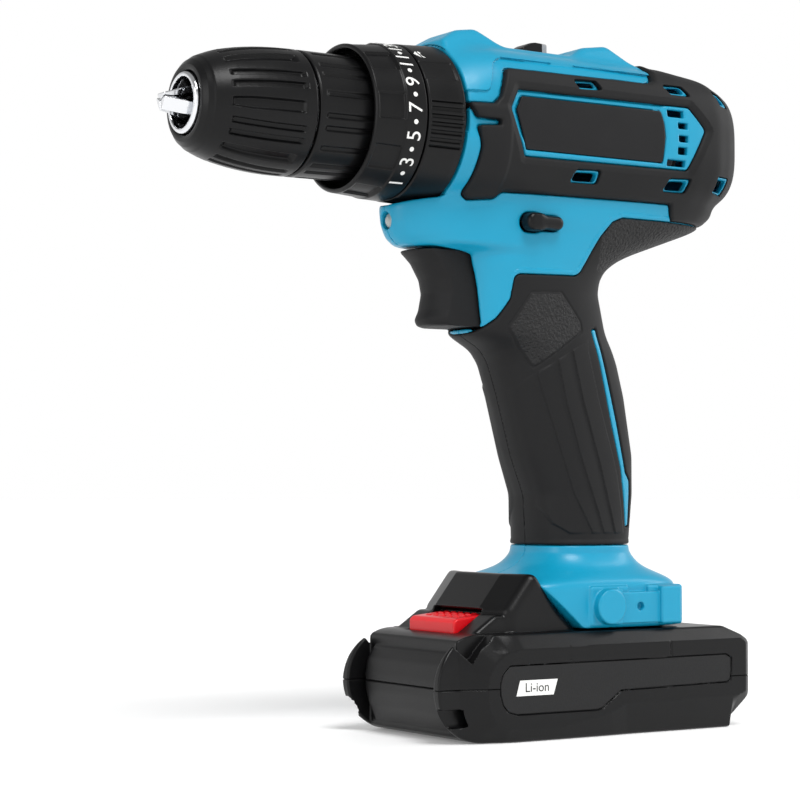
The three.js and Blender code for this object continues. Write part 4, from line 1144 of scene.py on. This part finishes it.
def add_camera():
    data = bpy.data.cameras.new("camera")
    data.lens = LENS_MM
    data.sensor_width = 36
    data.clip_end = 20
    camera = bpy.data.objects.new("camera", data)
    bpy.context.scene.collection.objects.link(camera)
    level = cos(PITCH)
    forward = Vector((-sin(HEADING) * level, cos(HEADING) * level, sin(PITCH)))
    camera.location = CAMERA * MM
    camera.rotation_euler = forward.to_track_quat("-Z", "Y").to_euler()
    bpy.context.scene.camera = camera


def add_light(kind, name, place, target, energy, **options):
    data = bpy.data.lights.new(name, kind)
    data.energy = energy
    for key, value in options.items():
        setattr(data, key, value)
    light = bpy.data.objects.new(name, data)
    light.location = place
    light.rotation_euler = (Vector(target) - Vector(place)).to_track_quat("-Z", "Y").to_euler()
    bpy.context.scene.collection.objects.link(light)


def add_sky():
    """White at the horizon and dimmer overhead, so that the lamps shape the tops of things."""
    world = bpy.data.worlds.new("studio")
    world.use_nodes = True
    nodes, links = world.node_tree.nodes, world.node_tree.links
    place = nodes.new("ShaderNodeTexCoord")
    split = nodes.new("ShaderNodeSeparateXYZ")
    reach = nodes.new("ShaderNodeMapRange")
    set_inputs(reach, {"From Min": 0.25, "From Max": 0.6, "To Min": 1.0, "To Max": 0.35})
    links.new(place.outputs["Generated"], split.inputs["Vector"])
    links.new(split.outputs["Z"], reach.inputs["Value"])
    links.new(reach.outputs["Result"], nodes["Background"].inputs["Strength"])
    set_inputs(nodes["Background"], {"Color": (1, 1, 1, 1)})
    bpy.context.scene.world = world


def add_stage():
    bpy.context.scene.view_settings.view_transform = "Standard"
    add_sky()
    add_light("SUN", "key", (0.1, 0.9, 1.5), (0, 0, 0.13), 2.1, angle=radians(26))
    add_light("AREA", "front", (1.3, 0.45, 0.6), (0, 0, 0.17), 4, shape="RECTANGLE", size=0.5, size_y=0.9)
    add_light("AREA", "rear", (-1.2, 0.35, 0.8), (-0.05, 0, 0.17), 5, shape="RECTANGLE", size=0.4, size_y=0.9)
    half = FLOOR_HALF
    points = [(-half, -half, 0), (half, -half, 0), (half, half, 0), (-half, half, 0)]
    mesh = bpy.data.meshes.new("floor")
    mesh.from_pydata(points, [], [(0, 1, 2, 3)])
    floor = bpy.data.objects.new("floor", mesh)
    floor.location.z = -FLOOR_DROP
    bpy.context.scene.collection.objects.link(floor)
    white = Paint("floor_white", (0.88, 0.88, 0.88), 0.7, specular=0.2, variation=0.01)
    set_inputs(white.shader, {"Emission Color": (1, 1, 1, 1), "Emission Strength": FLOOR_GLOW})
    mesh.materials.append(white.material)


build_housing()
build_chuck()
build_clutch()
build_controls()
build_pack()
paint_carried()
add_camera()
add_stage()
